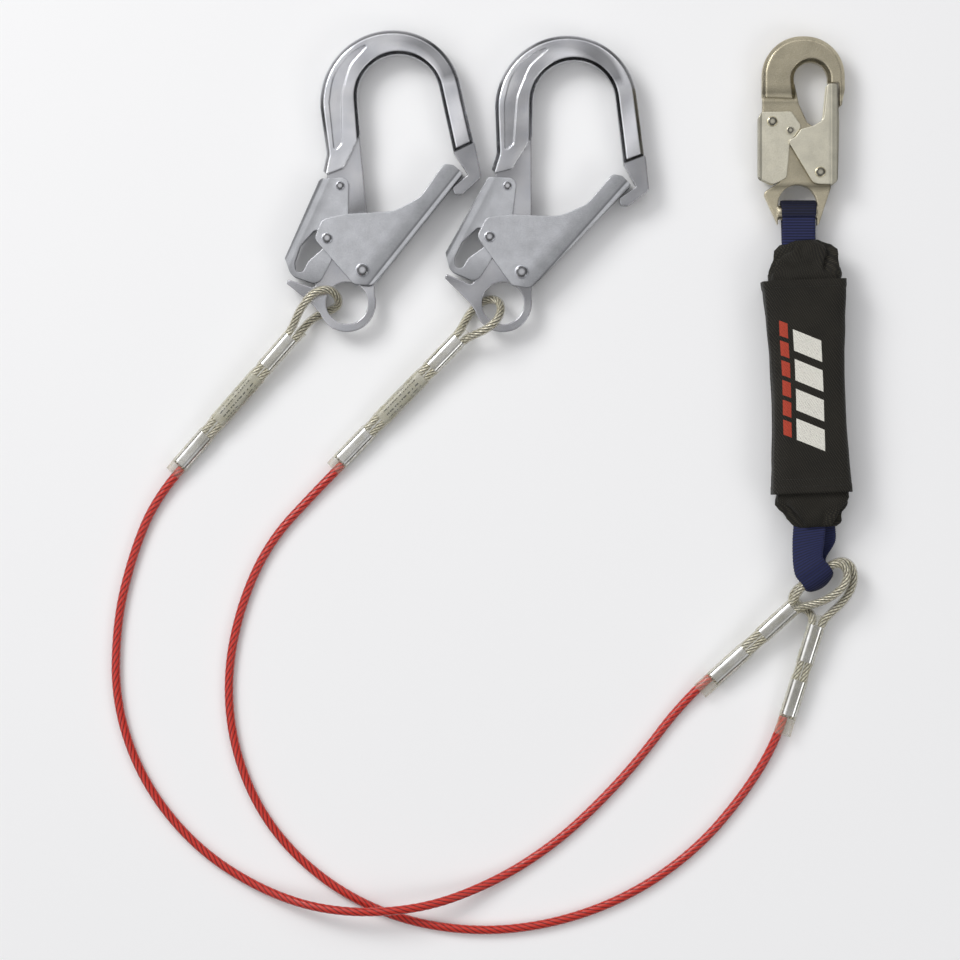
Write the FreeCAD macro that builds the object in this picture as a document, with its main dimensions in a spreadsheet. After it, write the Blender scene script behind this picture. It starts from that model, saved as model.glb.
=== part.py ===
import FreeCAD, Part
import math
import os

# Twin-leg shock absorbing lanyard, laid flat on z = 0. Units are millimetres.
# Frame: +Z up from the surface it lies on, origin under the middle of the hooks and pack.
# A steel snap hook and a webbing loop lead into a soft absorber pack; from the pack two
# PVC-coated wire rope legs run to two aluminium rebar hooks.

Vector = FreeCAD.Vector
Rotation = FreeCAD.Rotation
Placement = FreeCAD.Placement

doc = FreeCAD.newDocument("lanyard")
os.makedirs("parts", exist_ok=True)

SIZES = {
    "hook_mid_z": 12.5,         # height of the flat hooks' middle plane
    "web_thick": 8.0,           # thin web and ring of the rebar hook
    "bow_thick": 17.0,          # forged bow of the rebar hook
    "nose_thick": 12.0,
    "bow_bevel": 3.0,
    "ring_outer_r": 22.0,
    "ring_inner_r": 16.0,
    "groove_depth": 1.8,
    "seat_depth": 1.5,          # recess in the web for a lever spring
    "seat_r": 5.2,
    "lever_width": 13.2,        # lock lever channel, outside
    "lever_gap": 9.0,           # lock lever channel, inside
    "gate_width": 19.0,         # gate channel, outside
    "gate_gap": 14.2,           # gate channel, inside
    "snap_bow_thick": 14.5,
    "snap_lever_width": 12.8,
    "snap_lever_gap": 9.0,
    "snap_gate_width": 18.0,
    "snap_gate_gap": 13.8,
    "snap_bar_r": 5.5,
    "webbing_width": 25.4,
    "webbing_thick": 2.2,
    "wear_width": 27.6,
    "wear_thick": 1.5,
    "pack_mid_z": 17.0,
    "wrap_width": 64.0,
    "wrap_height": 34.0,
    "wrap_length": 162.0,
    "wrap_wall": 1.7,
    "tear_width": 40.0,
    "backup_width": 40.0,
    "rope_r": 2.75,
    "jacket_inner_r": 2.8,
    "jacket_outer_r": 3.35,
    "eye_tube_inner_r": 2.85,
    "eye_tube_outer_r": 3.45,
    "strand_gap": 5.8,          # spacing of the two rope strands inside a ferrule
    "ferrule_width": 12.4,
    "ferrule_height": 8.6,
}

dims = doc.addObject("Spreadsheet::Sheet", "dims")
for row, (alias, value) in enumerate(SIZES.items(), start=1):
    dims.set("A%d" % row, alias)
    dims.set("B%d" % row, str(value))
    dims.setAlias("B%d" % row, alias)
doc.recompute()


def size(alias):
    return float(getattr(dims, alias))


PARTS = []


# ---------------------------------------------------------------- profiles

def unit(dx, dy):
    length = math.hypot(dx, dy)
    return dx / length, dy / length


def rounded(points):
    """Closed outline of lines and tangent arcs from corners (x, y, corner radius)."""
    spans = []
    count = len(points)
    for i in range(count):
        x, y, r = points[i]
        px, py = points[i - 1][:2]
        nx, ny = points[(i + 1) % count][:2]
        ux, uy = unit(px - x, py - y)
        vx, vy = unit(nx - x, ny - y)
        if r <= 0:
            spans.append((Vector(x, y, 0), None, Vector(x, y, 0)))
            continue
        half = math.acos(max(-1.0, min(1.0, ux * vx + uy * vy))) / 2
        reach = r / math.tan(half)
        bx, by = unit(ux + vx, uy + vy)
        to_mid = r / math.sin(half) - r
        start = Vector(x + ux * reach, y + uy * reach, 0)
        middle = Vector(x + bx * to_mid, y + by * to_mid, 0)
        end = Vector(x + vx * reach, y + vy * reach, 0)
        spans.append((start, middle, end))
    geometry = []
    for i in range(count):
        start, middle, end = spans[i]
        if middle is not None:
            geometry.append(Part.Arc(start, middle, end))
        following = spans[(i + 1) % count][0]
        if end.distanceToPoint(following) > 1e-4:
            geometry.append(Part.LineSegment(end, following))
    return geometry


def box_outline(width, height, radius):
    w = width / 2
    h = height / 2
    return [(-w, -h, radius), (w, -h, radius), (w, h, radius), (-w, h, radius)]


def strip(points, thickness):
    """Outline of a strip of the given thickness along an open line of (x, y, radius)."""
    left = []
    right = []
    half = thickness / 2
    last = len(points) - 1
    for i, (x, y, r) in enumerate(points):
        before = points[max(i - 1, 0)]
        after = points[min(i + 1, last)]
        ux, uy = unit(x - before[0], y - before[1]) if i else (None, None)
        vx, vy = unit(after[0] - x, after[1] - y) if i < last else (ux, uy)
        if ux is None:
            ux, uy = vx, vy
        turn = ux * vy - uy * vx
        scale = half / (1 + ux * vx + uy * vy)
        ox = (-uy - vy) * scale
        oy = (ux + vx) * scale
        grow = half if turn < 0 else -half
        left.append((x + ox, y + oy, max(r + grow, 0.05) if r else 0))
        right.append((x - ox, y - oy, max(r - grow, 0.05) if r else 0))
    return left + right[::-1]


# ---------------------------------------------------------------- bodies

def base_plane(body, role):
    return [item for item in body.Origin.OriginFeatures if item.Role == role][0]


def new_body(name, placement=None):
    body = doc.addObject("PartDesign::Body", name)
    body.Label = name
    if placement is not None:
        body.Placement = placement
    PARTS.append(body)
    return body


def new_sketch(body, name, outlines=(), circles=(), role="XY_Plane", lift=0.0):
    sketch = body.newObject("Sketcher::SketchObject", body.Name + "_" + name)
    sketch.AttachmentSupport = (base_plane(body, role), "")
    sketch.MapMode = "FlatFace"
    if lift:
        sketch.AttachmentOffset = Placement(Vector(0, 0, lift), Rotation())
    for outline in outlines:
        for item in rounded(outline):
            sketch.addGeometry(item, False)
    for x, y, r in circles:
        sketch.addGeometry(Part.Circle(Vector(x, y, 0), Vector(0, 0, 1), r), False)
    sketch.Visibility = False
    return sketch


def pad(body, name, length, **profile):
    feature = body.newObject("PartDesign::Pad", body.Name + "_" + name)
    feature.Profile = new_sketch(body, name + "_sketch", **profile)
    feature.SideType = "Symmetric"
    feature.setExpression("Length", length)
    return feature


def cut(body, name, length, **profile):
    feature = body.newObject("PartDesign::Pocket", body.Name + "_" + name)
    feature.Profile = new_sketch(body, name + "_sketch", **profile)
    feature.SideType = "Symmetric"
    feature.setExpression("Length", length)
    return feature


def bevel(body, name, amount, level, low_y):
    """Chamfer the outline edges that lie on both outer faces above low_y."""
    doc.recompute()
    base = body.Tip
    edges = []
    for index, edge in enumerate(base.Shape.Edges, start=1):
        box = edge.BoundBox
        flat = box.ZMax - box.ZMin < 1e-3 and abs(abs(box.ZMax) - level) < 1e-3
        tall = box.YMax - box.YMin > 3
        if flat and tall and box.YMin > low_y and edge.Length > 12:
            edges.append("Edge%d" % index)
    feature = body.newObject("PartDesign::Chamfer", body.Name + "_" + name)
    feature.Base = (base, edges)
    feature.setExpression("Size", amount)
    return feature


def rivet(name, x, y, shank_r, head_r, grip, head, mount):
    """Headed pin along local Z, built as one revolved section."""
    place = mount.multiply(Placement(Vector(x, y, 0), Rotation()))
    body = new_body(name, place)
    half = grip / 2 + 0.1
    tall = half + head
    section = [
        (0, -tall, 0),
        (head_r * 0.8, -tall, head * 0.45),
        (head_r, -half, 0),
        (shank_r, -half, 0),
        (shank_r, half, 0),
        (head_r, half, 0),
        (head_r * 0.8, tall, head * 0.45),
        (0, tall, 0),
    ]
    feature = body.newObject("PartDesign::Revolution", name + "_turned")
    feature.Profile = new_sketch(body, "section", outlines=[section], role="XZ_Plane")
    feature.ReferenceAxis = (feature.Profile[0], ["V_Axis"])
    feature.Angle = 360
    return body


def solid_part(name, shape, placement=None):
    item = doc.addObject("Part::Feature", name)
    item.Label = name
    item.Shape = shape
    if placement is not None:
        item.Placement = placement
    PARTS.append(item)
    return item


def tube(path, radius):
    start = path.Edges[0]
    first = start.valueAt(start.FirstParameter)
    lead = start.tangentAt(start.FirstParameter)
    ring = Part.Wire(Part.Circle(first, lead, radius).toShape())
    shape = path.makePipeShell([ring], True, False)
    expected = math.pi * radius * radius * path.Length
    if abs(shape.Volume / expected - 1) > 0.02:
        raise ValueError("tube volume %.0f, expected %.0f" % (shape.Volume, expected))
    return shape


def hairpin_spring(name, x, y, coil_r, wire_r, level, leg, mount):
    """Wire spring bent half a turn round a rivet with two straight legs, beside the web."""
    path = Part.Wire([
        Part.LineSegment(Vector(coil_r, -leg, 0), Vector(coil_r, 0, 0)).toShape(),
        Part.Arc(Vector(coil_r, 0, 0), Vector(0, coil_r, 0), Vector(-coil_r, 0, 0)).toShape(),
        Part.LineSegment(Vector(-coil_r, 0, 0), Vector(-coil_r, -leg, 0)).toShape(),
    ])
    place = mount.multiply(Placement(Vector(x, y, level), Rotation()))
    return solid_part(name, tube(path, wire_r), place)


# ---------------------------------------------------------------- rebar hooks

RING_CENTRES = {
    "left": (-169.4, 8.6, 0.0),
    "right": (-50.7, 8.5, -5.5),
}
GATE_PIVOT = (11.8, 24.8)
LEVER_PIVOT = (-5.2, 89.1)
LOCK_PIN = (-15.0, 49.1)

WEB = [
    (9.0, 131, 0), (15.1, 68.7, 0), (18.8, 40, 25), (21.5, 2, 0), (0, -21, 0),
    (-10.8, -19.6, 1.5), (-25.5, -2.0, 3), (-33, 4.5, 2), (-46, 14.8, 1.0), (-44.8, 18.0, 1.2),
    (-25.2, 11.4, 3), (-18.5, 24, 6), (-11, 44, 10), (-9.5, 78, 12), (-15.2, 90, 2), (-15.2, 104, 0),
]
BOW = [
    (10.1, 128.2, 0), (5.2, 188.75, 31.5), (64.7, 188.75, 31.5), (81.2, 113.8, 0), (96.4, 121.2, 0),
    (76.7, 207.4, 52), (-28.4, 207.4, 55), (-15.6, 113, 9), (-18.2, 100.5, 0), (-15.2, 97.8, 1),
    (-2.6, 102.6, 4),
]
NOSE = [
    (80.6, 118, 0), (81.3, 113.5, 1.5), (92.2, 97.6, 1.0), (80.2, 87.6, 1.5), (82.0, 82.6, 2),
    (87.5, 82.5, 3), (102.3, 96.0, 4), (97.2, 121.6, 2), (90, 124, 0),
]
GROOVE = [
    (17.2, 197.2, 1.0), (-9.1, 186.5, 40), (-13.6, 152, 10), (-9.6, 114.5, 1.6), (-3.6, 121, 4),
    (-4.4, 157, 25), (2.6, 181, 20),
]
GATE = [
    (-24.6, 48.5, 5.5), (-18.8, 63.5, 7), (-0.9, 67.4, 12), (36, 69.5, 30), (56, 80.5, 20),
    (73.5, 105.5, 5.0), (81.0, 104.6, 3.0), (88.4, 98.4, 1.5), (27.5, 22.5, 1.0), (19, 13.0, 6),
    (5.5, 14.0, 6),
]
GATE_INSIDE = [
    (110, 130, 0), (85.6, 99.9, 0), (25.2, 24.4, 0), (30, 18, 0), (30, -5, 0), (-60, -5, 0),
    (-60, 130, 0),
]
LEVER = [
    (-20.5, 94.5, 4), (1.6, 95.5, 6), (0.8, 62, 10), (-8, 40, 15), (-21.5, 13.5, 7), (-42.5, 20.5, 9),
    (-47.2, 34, 2),
]
LEVER_INSIDE = [
    (-17.9, 95.5, 0), (-18, 130, 0), (30, 130, 0), (30, -10, 0), (-60, -10, 0), (-60, 26, 0),
    (-48.2, 26, 0),
]
LEVER_SLOT = [
    (-13.0, 53.2, 2.5), (-24.5, 55.5, 3), (-35.4, 43.6, 4), (-39.8, 31, 4), (-39.2, 23.6, 3),
    (-33.5, 23.4, 3), (-29.5, 31.5, 4), (-11.2, 47.6, 2.5),
]


def rebar_hook(side, x, y, turn):
    mount = Placement(Vector(x, y, size("hook_mid_z")), Rotation(Vector(0, 0, 1), turn))

    body = new_body(side + "_hook_body", mount)
    pad(body, "bow", "dims.bow_thick", outlines=[BOW])
    bevel(body, "bow_bevel", "dims.bow_bevel", size("bow_thick") / 2, 107.0)
    high = size("bow_thick") / 2
    cut(body, "groove_top", "dims.groove_depth * 2", outlines=[GROOVE], lift=high)
    cut(body, "groove_back", "dims.groove_depth * 2", outlines=[GROOVE], lift=-high)
    pad(body, "web", "dims.web_thick", outlines=[WEB])
    pad(body, "nose", "dims.nose_thick", outlines=[NOSE])
    pad(body, "ring", "dims.web_thick", circles=[(0, 0, size("ring_outer_r"))])
    holes = [
        (0, 0, size("ring_inner_r")),
        (GATE_PIVOT[0], GATE_PIVOT[1], 3.05),
        (LEVER_PIVOT[0], LEVER_PIVOT[1], 2.25),
    ]
    cut(body, "holes", "dims.web_thick * 2", circles=holes)
    seat = [(LEVER_PIVOT[0], LEVER_PIVOT[1], size("seat_r"))]
    cut(body, "spring_seat", "dims.seat_depth * 2", circles=seat, lift=size("web_thick") / 2)

    gate = new_body(side + "_gate", mount)
    pad(gate, "cheeks", "dims.gate_width", outlines=[GATE])
    cut(gate, "channel", "dims.gate_gap", outlines=[GATE_INSIDE])
    gate_holes = [(GATE_PIVOT[0], GATE_PIVOT[1], 3.05), (LOCK_PIN[0], LOCK_PIN[1], 2.62)]
    cut(gate, "holes", "dims.gate_width * 2", circles=gate_holes)

    lever = new_body(side + "_lock_lever", mount)
    pad(lever, "cheeks", "dims.lever_width", outlines=[LEVER])
    cut(lever, "channel", "dims.lever_gap", outlines=[LEVER_INSIDE])
    cut(lever, "slot", "dims.lever_width * 2", outlines=[LEVER_SLOT])
    cut(lever, "hole", "dims.lever_width * 2", circles=[(LEVER_PIVOT[0], LEVER_PIVOT[1], 2.25)])

    gate_grip = size("gate_width")
    lever_grip = size("lever_width")
    rivet(side + "_gate_rivet", *GATE_PIVOT, 3.0, 5.3, gate_grip, 2.9, mount)
    rivet(side + "_lock_pin", *LOCK_PIN, 2.6, 4.3, gate_grip, 2.2, mount)
    rivet(side + "_lever_rivet", *LEVER_PIVOT, 2.2, 3.5, lever_grip, 1.8, mount)
    hairpin_spring(side + "_gate_spring", *GATE_PIVOT, 4.1, 0.6, 5.5, 6, mount)
    hairpin_spring(side + "_lever_spring", *LEVER_PIVOT, 3.3, 0.6, 3.45, 3, mount)


for side, (ring_x, ring_y, ring_turn) in RING_CENTRES.items():
    rebar_hook(side, ring_x, ring_y, ring_turn)


# ---------------------------------------------------------------- snap hook

SNAP_EYE = (173.4, 85.0)
SNAP_BAR_Y = -7.5
SNAP_GATE_PIVOT = (17.0, 23.0)
SNAP_LEVER_PIVOT = (-19.3, 61.6)
SNAP_STOP_PIN = (-5.7, 54.8)

SNAP_BOW = [
    (-27.0, 80, 0), (-26.8, 126.5, 30.2), (35.4, 126.5, 30.2), (36.0, 86, 0), (33.2, 73.4, 1.0),
    (31.8, 73.4, 0.4), (31.8, 91.0, 1), (22.9, 91.0, 0), (22.9, 106.9, 12.88), (-4.3, 106.9, 12.88),
    (-1.4, 79.0, 0),
]
SNAP_WEB = [
    (-26.6, 90, 0), (-2.2, 90, 0), (1.1, 74.7, 6), (7.2, 61, 5), (13, 57, 4), (20.5, 40, 8),
    (20.5, 26, 5), (25.6, 12, 4), (15.8, -18.0, 4), (-14.5, -18.0, 4), (-26.2, 7.5, 4), (-13.6, 15.6, 4),
    (-12.4, 32, 10), (-14.0, 46, 8), (-26.6, 58, 4),
]
SNAP_EYE_HOLE = [
    (-14.8, -18.2, 0), (14.8, -18.2, 0), (14.8, 13.5, 14.7), (-14.8, 13.5, 14.7),
]
SNAP_GATE = [
    (30.0, 90.2, 2.5), (31.3, 60, 0), (30.2, 13.5, 5), (12, 14, 7), (-7.8, 47.0, 2.5), (-2.0, 49.6, 3),
    (2.4, 55.6, 2), (12, 58.3, 6), (19.6, 63, 6), (22.4, 90.2, 2.0),
]
SNAP_GATE_INSIDE = [
    (29.3, 110, 0), (29.3, 24, 0), (40, 16, 0), (40, 0, 0), (-40, 0, 0), (-40, 110, 0),
]
SNAP_LEVER = [
    (-27.6, 68.8, 2), (-4.8, 69.2, 3), (3.2, 57.6, 4), (-5.8, 46, 6), (-8.4, 18.8, 4), (-19, 13.4, 5),
    (-29.8, 18.5, 4), (-29.8, 64.5, 1),
]
SNAP_LEVER_INSIDE = [
    (-27.8, 110, 0), (40, 110, 0), (40, 0, 0), (-60, 0, 0), (-60, 19.5, 0), (-27.8, 19.5, 0),
]

snap_mount = Placement(Vector(SNAP_EYE[0], SNAP_EYE[1], size("hook_mid_z")), Rotation())

snap = new_body("snap_hook_body", snap_mount)
pad(snap, "bow", "dims.snap_bow_thick", outlines=[SNAP_BOW])
bevel(snap, "bow_bevel", "dims.bow_bevel", size("snap_bow_thick") / 2, 78.5)
pad(snap, "web", "dims.web_thick", outlines=[SNAP_WEB])
cut(snap, "eye", "dims.web_thick * 2", outlines=[SNAP_EYE_HOLE])
snap_holes = [
    (SNAP_GATE_PIVOT[0], SNAP_GATE_PIVOT[1], 2.75),
    (SNAP_LEVER_PIVOT[0], SNAP_LEVER_PIVOT[1], 2.25),
]
cut(snap, "holes", "dims.web_thick * 2", circles=snap_holes)
snap_seat = [(SNAP_LEVER_PIVOT[0], SNAP_LEVER_PIVOT[1], size("seat_r"))]
cut(snap, "spring_seat", "dims.seat_depth * 2", circles=snap_seat, lift=size("web_thick") / 2)
bar_circle = [(SNAP_BAR_Y, 0, size("snap_bar_r"))]
pad(snap, "bar", "29.8", circles=bar_circle, role="YZ_Plane")

snap_gate = new_body("snap_gate", snap_mount)
pad(snap_gate, "cheeks", "dims.snap_gate_width", outlines=[SNAP_GATE])
cut(snap_gate, "channel", "dims.snap_gate_gap", outlines=[SNAP_GATE_INSIDE])
cut(snap_gate, "hole", "40", circles=[(SNAP_GATE_PIVOT[0], SNAP_GATE_PIVOT[1], 2.75)])

snap_lever = new_body("snap_lock_lever", snap_mount)
pad(snap_lever, "cheeks", "dims.snap_lever_width", outlines=[SNAP_LEVER])
cut(snap_lever, "channel", "dims.snap_lever_gap", outlines=[SNAP_LEVER_INSIDE])
lever_holes = [
    (SNAP_LEVER_PIVOT[0], SNAP_LEVER_PIVOT[1], 2.25),
    (SNAP_STOP_PIN[0], SNAP_STOP_PIN[1], 2.0),
]
cut(snap_lever, "holes", "40", circles=lever_holes)

rivet("snap_gate_rivet", *SNAP_GATE_PIVOT, 2.7, 4.2, size("snap_gate_width"), 2.2, snap_mount)
rivet("snap_lever_rivet", *SNAP_LEVER_PIVOT, 2.2, 4.1, size("snap_lever_width"), 2.0, snap_mount)
hairpin_spring("snap_gate_spring", *SNAP_GATE_PIVOT, 3.7, 0.6, 5.4, 6, snap_mount)
hairpin_spring("snap_lever_spring", *SNAP_LEVER_PIVOT, 3.3, 0.6, 3.45, 3, snap_mount)

# Stop pins: two headed studs, one in each lever cheek, leaving the web free between them.
stop = new_body("snap_stop_pins", snap_mount)
stop_x, stop_y = SNAP_STOP_PIN
pad(stop, "heads", "dims.snap_gate_width", circles=[(stop_x, stop_y, 2.9)])
cut(stop, "head_gap", "dims.snap_lever_width + 0.04", circles=[(stop_x, stop_y, 6)])
for level, label in ((1, "top"), (-1, "back")):
    middle = level * (size("snap_lever_width") + size("snap_lever_gap") + 0.2) / 4
    pad(stop, label + "_shank", "(dims.snap_lever_width - dims.snap_lever_gap) / 2 + 0.1",
        circles=[(stop_x, stop_y, 1.98)], lift=middle)

# ---------------------------------------------------------------- webbing and pack

def ribbon(body, name, width, line):
    """Folded webbing: a strip drawn in the YZ plane and padded across its width."""
    outline = strip(line, size("webbing_thick"))
    return pad(body, name, width, outlines=[outline], role="YZ_Plane")


# Loop through the snap hook: once round the bar, both tails sewn inside the pack.
loop_mount = Placement(Vector(174.3, 0, 0), Rotation())
top_loop = new_body("top_webbing_loop", loop_mount)
TOP_LOOP = [
    (26, 19.2, 0), (84.4, 19.4, 6.85), (84.4, 5.6, 6.85), (68, 5.6, 8), (48, 15.9, 8), (26, 15.9, 0),
]
ribbon(top_loop, "folded", "dims.webbing_width", TOP_LOOP)

# Wear pad: a short second layer between the loop and the snap hook's eye.
wear_mount = Placement(Vector(SNAP_EYE[0], 0, 0), Rotation())
wear_pad = new_body("bar_wear_pad", wear_mount)
WEAR_PAD = [(74.5, 21.3, 0), (86.3, 21.3, 8.8), (86.3, 3.7, 8.8), (74.5, 3.7, 0)]
wear_outline = strip(WEAR_PAD, size("wear_thick"))
pad(wear_pad, "folded", "dims.wear_width", outlines=[wear_outline], role="YZ_Plane")

pack_mount = Placement(
    Vector(181.7, -55.2, size("pack_mid_z")), Rotation(Vector(0, 0, 1), 2.2))

wrap = new_body("pack_wrap", pack_mount)
wrap_wall = size("wrap_wall")
wrap_outer = box_outline(size("wrap_width"), size("wrap_height"), 10)
wrap_inner = box_outline(
    size("wrap_width") - 2 * wrap_wall, size("wrap_height") - 2 * wrap_wall, 8.3)
pad(wrap, "tube", "dims.wrap_length", outlines=[wrap_outer, wrap_inner], role="XZ_Plane")


def section_wire(width, height, radius, y):
    edges = [item.toShape() for item in rounded(box_outline(width, height, radius))]
    wire = Part.Wire(edges)
    wire.Placement = Placement(Vector(0, y, 0), Rotation(Vector(1, 0, 0), 90))
    return wire


# Inner sleeve: a fabric tube drawn in at both ends. (y, width, height, corner)
SLEEVE = [
    (-107, 40, 16, 6), (-98, 50, 24, 9), (-84, 58, 28, 11), (84, 58, 28, 11), (99, 54, 24, 9),
    (111, 38, 15, 6),
]
sleeve_wall = 1.2
sleeve_outer = []
sleeve_inner = []
for y, width, height, corner in SLEEVE:
    sleeve_outer.append(section_wire(width, height, corner, y))
    narrow = width - 2 * sleeve_wall
    low = height - 2 * sleeve_wall
    over = y * 1.0001
    sleeve_inner.append(section_wire(narrow, low, corner - sleeve_wall, over))
sleeve_shape = Part.makeLoft(sleeve_outer, True, True).cut(Part.makeLoft(sleeve_inner, True, True))
solid_part("pack_sleeve", sleeve_shape, pack_mount)


def plate(name, width, length, thick, z):
    item = doc.addObject("Part::Box", name)
    item.Label = name
    item.Width = length
    item.Length = width
    item.Height = thick
    corner = Placement(Vector(-width / 2, -length / 2, z), Rotation())
    item.Placement = pack_mount.multiply(corner)
    PARTS.append(item)
    return item


plate("closure_hook_strip", 22, 150, 0.5, -15.2)
plate("closure_loop_strip", 22, 150, 0.5, -14.6)
plate("label_booklet", 36, 120, 1.0, 14.15)

# Tear webbing folded back and forth, and the back-up webbing that holds once it has torn out.
TEAR = [
    (-76, -9.9, 0), (76, -9.9, 1.75), (76, -6.3, 1.75), (-74, -6.3, 1.75), (-74, -2.7, 1.75),
    (76, -2.7, 1.75), (76, 0.9, 1.75), (-76, 0.9, 0),
]
BACKUP = [(-76, 4.9, 0), (74, 4.9, 1.75), (74, 8.5, 1.75), (-76, 8.5, 0)]
tear = new_body("tear_webbing", pack_mount)
ribbon(tear, "folded", "dims.tear_width", TEAR)
backup = new_body("backup_webbing", pack_mount)
ribbon(backup, "folded", "dims.backup_width", BACKUP)

# Loop for the legs: drawn out of the pack, turned on its side and folded back.
FOLD_CENTRE = Vector(186.1, -197.7, size("pack_mid_z"))
FOLD_TURN = 35.0
FOLD_RADIUS = 11.0


def across(angle):
    return Vector(math.cos(math.radians(angle)), math.sin(math.radians(angle)), 0)


fold_down = across(FOLD_TURN - 90)
# Middle of the webbing, the way across it, and how far its edges curl inwards.
stations = [
    (Vector(184.6, -146, 18.9), 2, 0),
    (Vector(182.6, -160, 19.4), 5, 0),
    (Vector(181.2, -175, 23.0), 14, 0.6),
    (FOLD_CENTRE - fold_down * 9 + Vector(0, 0, FOLD_RADIUS), 32, 1.0),
]
for step in range(9):
    angle = math.radians(90 - 22.5 * step)
    swing = fold_down * (FOLD_RADIUS * math.cos(angle))
    curl = 1.0 + 2.5 * math.cos(angle) ** 4
    middle = FOLD_CENTRE + swing + Vector(0, 0, FOLD_RADIUS * math.sin(angle))
    stations.append((middle, FOLD_TURN, curl))
stations += [
    (Vector(185.4, -190.4, 6.2), 30, 1.0),
    (Vector(190.6, -176, 10.2), 17, 0.6),
    (Vector(189.4, -160, 14.4), 6, 0),
    (Vector(187.0, -146, 15.5), 2, 0),
]
sections = []
for index, (centre, angle, curl) in enumerate(stations):
    before = stations[max(index - 1, 0)][0]
    after = stations[min(index + 1, len(stations) - 1)][0]
    wide = across(angle)
    tangent = after - before
    tangent = (tangent - wide * tangent.dot(wide)).normalize()
    normal = tangent.cross(wide).normalize()
    half_width = size("webbing_width") / 2
    half_thick = size("webbing_thick") / 2
    shares = [-1, -0.6, -0.2, 0.2, 0.6, 1]
    inner = [centre + wide * (t * half_width) - normal * (curl * t * t + half_thick) for t in shares]
    outer = [centre + wide * (t * half_width) - normal * (curl * t * t - half_thick) for t in shares]
    corners = inner + outer[::-1]
    sections.append(Part.makePolygon(corners + corners[:1]))
solid_part("bottom_webbing_loop", Part.makeLoft(sections, True, True))


# ---------------------------------------------------------------- wire rope legs

HOOK_FERRULES = [(3, 33), (102, 132)]
HOOK_LABEL = (42, 89)
HOOK_SLEEVE = 140
HOOK_JACKET = 133.5

# Each rope end, in order: where its clear sleeve starts at the eye, a point further along it,
# the side the live strand runs on, the points the eye passes from the dead strand to the live
# one, the ferrules, the printed label, the sleeve's length and where the red jacket starts.
ENDS = {
    "left_hook": (
        Vector(-210, -15, 14), Vector(-297.8, -114.9, 5.8), 1,
        [(-206, 2, 20.8), (-195.5, 16, 24.2), (-184, 19.5, 23.8), (-177, 14.5, 20.6), (-175.4, 8.6, 13.2),
         (-179, 4.6, 6.4), (-187, 2.0, 4.0), (-197, -3.0, 5.0)],
        HOOK_FERRULES, HOOK_LABEL, HOOK_SLEEVE, HOOK_JACKET),
    "right_hook": (
        Vector(-82.2, -16.6, 14), Vector(-175.2, -111.8, 5.8), 1,
        [(-79.5, -4.5, 6.5), (-73, 5.5, 4.0), (-63.5, 12.0, 4.0), (-55.5, 11.6, 7.6), (-51.5, 6.0, 15.0),
         (-54.0, -3.5, 21.6), (-62, -11.0, 23.4), (-72, -15.5, 20.5)],
        HOOK_FERRULES, HOOK_LABEL, HOOK_SLEEVE, HOOK_JACKET),
    "left_pack": (
        Vector(172, -221, 16.5), Vector(108.7, -279.2, 6.8), -1,
        [(187, -220.5, 19.0), (200, -214.5, 20.8), (209, -206.5, 21.6), (211.5, -196.5, 21.6),
         (207, -189.6, 21.2), (199.5, -190.4, 20.9), (190, -196.9, 20.9), (180, -204.2, 20.9),
         (173.5, -211, 19.0)],
        [(3, 34), (52, 84)], None, 98, 85.5),
    "right_pack": (
        Vector(189, -234, 13), Vector(163.7, -316.2, 6.4), -1,
        [(199, -227.5, 12.8), (210.5, -217, 13.0), (217, -204, 13.2), (216, -192.5, 13.2),
         (208.5, -187.0, 13.1), (199.5, -190.4, 13.1), (190, -196.9, 13.1), (180, -204.2, 13.1),
         (172.2, -209.8, 11.8), (169.3, -217.0, 6.2), (175.5, -223.2, 4.6), (183.0, -226.0, 9.0)],
        [(3, 32), (47, 75)], None, 90, 77),
}

# Cable routes on the floor between the two ends of each leg; the left leg rides over the right.
ROUTES = {
    "left": [
        (-315.7, -139.4, 4.0), (-334, -184, 3.5), (-346, -235, 3.5), (-347, -297, 3.5),
        (-326, -357, 3.5), (-285, -408, 3.5), (-231, -442, 4.5), (-176, -456, 17.6),
        (-112, -453, 17.6), (-56, -433, 4.5), (-12, -405, 3.5), (22, -374, 3.5), (54, -339, 3.5),
        (85.5, -296.8, 3.8),
    ],
    "right": [
        (-194.3, -135.4, 4.0), (-229, -173, 3.5), (-251, -221, 3.5), (-262, -277, 3.5),
        (-256, -335, 3.5), (-231, -390, 3.5), (-187, -434, 3.5), (-132, -462, 3.5), (-70, -472, 3.5),
        (-9, -465, 3.5), (49, -443, 3.5), (98, -408, 3.5), (133, -367, 3.5), (157.2, -327.8, 5.2),
    ],
}


def route_edges(points, name):
    """Straight runs joined by tangent arcs; prints the length and the tightest arc."""
    edges = []
    here = points[0]
    tightest = 1e9
    for before, corner, after in zip(points, points[1:], points[2:]):
        back = before - corner
        ahead = after - corner
        reach = 0.45 * min(back.Length, ahead.Length)
        back.normalize()
        ahead.normalize()
        half = back.getAngle(ahead) / 2
        radius = reach * math.tan(half)
        tightest = min(tightest, radius)
        start = corner + back * reach
        end = corner + ahead * reach
        toward = (back + ahead).normalize()
        middle = corner + toward * (radius / math.sin(half) - radius)
        edges.append(Part.LineSegment(here, start).toShape())
        edges.append(Part.Arc(start, middle, end).toShape())
        here = end
    edges.append(Part.LineSegment(here, points[-1]).toShape())
    length = sum(edge.Length for edge in edges)
    print("%s: route length %.1f, tightest arc radius %.1f" % (name, length, tightest))
    return edges


def oval(width, height):
    return box_outline(width, height, height / 2 - 0.05)


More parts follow.
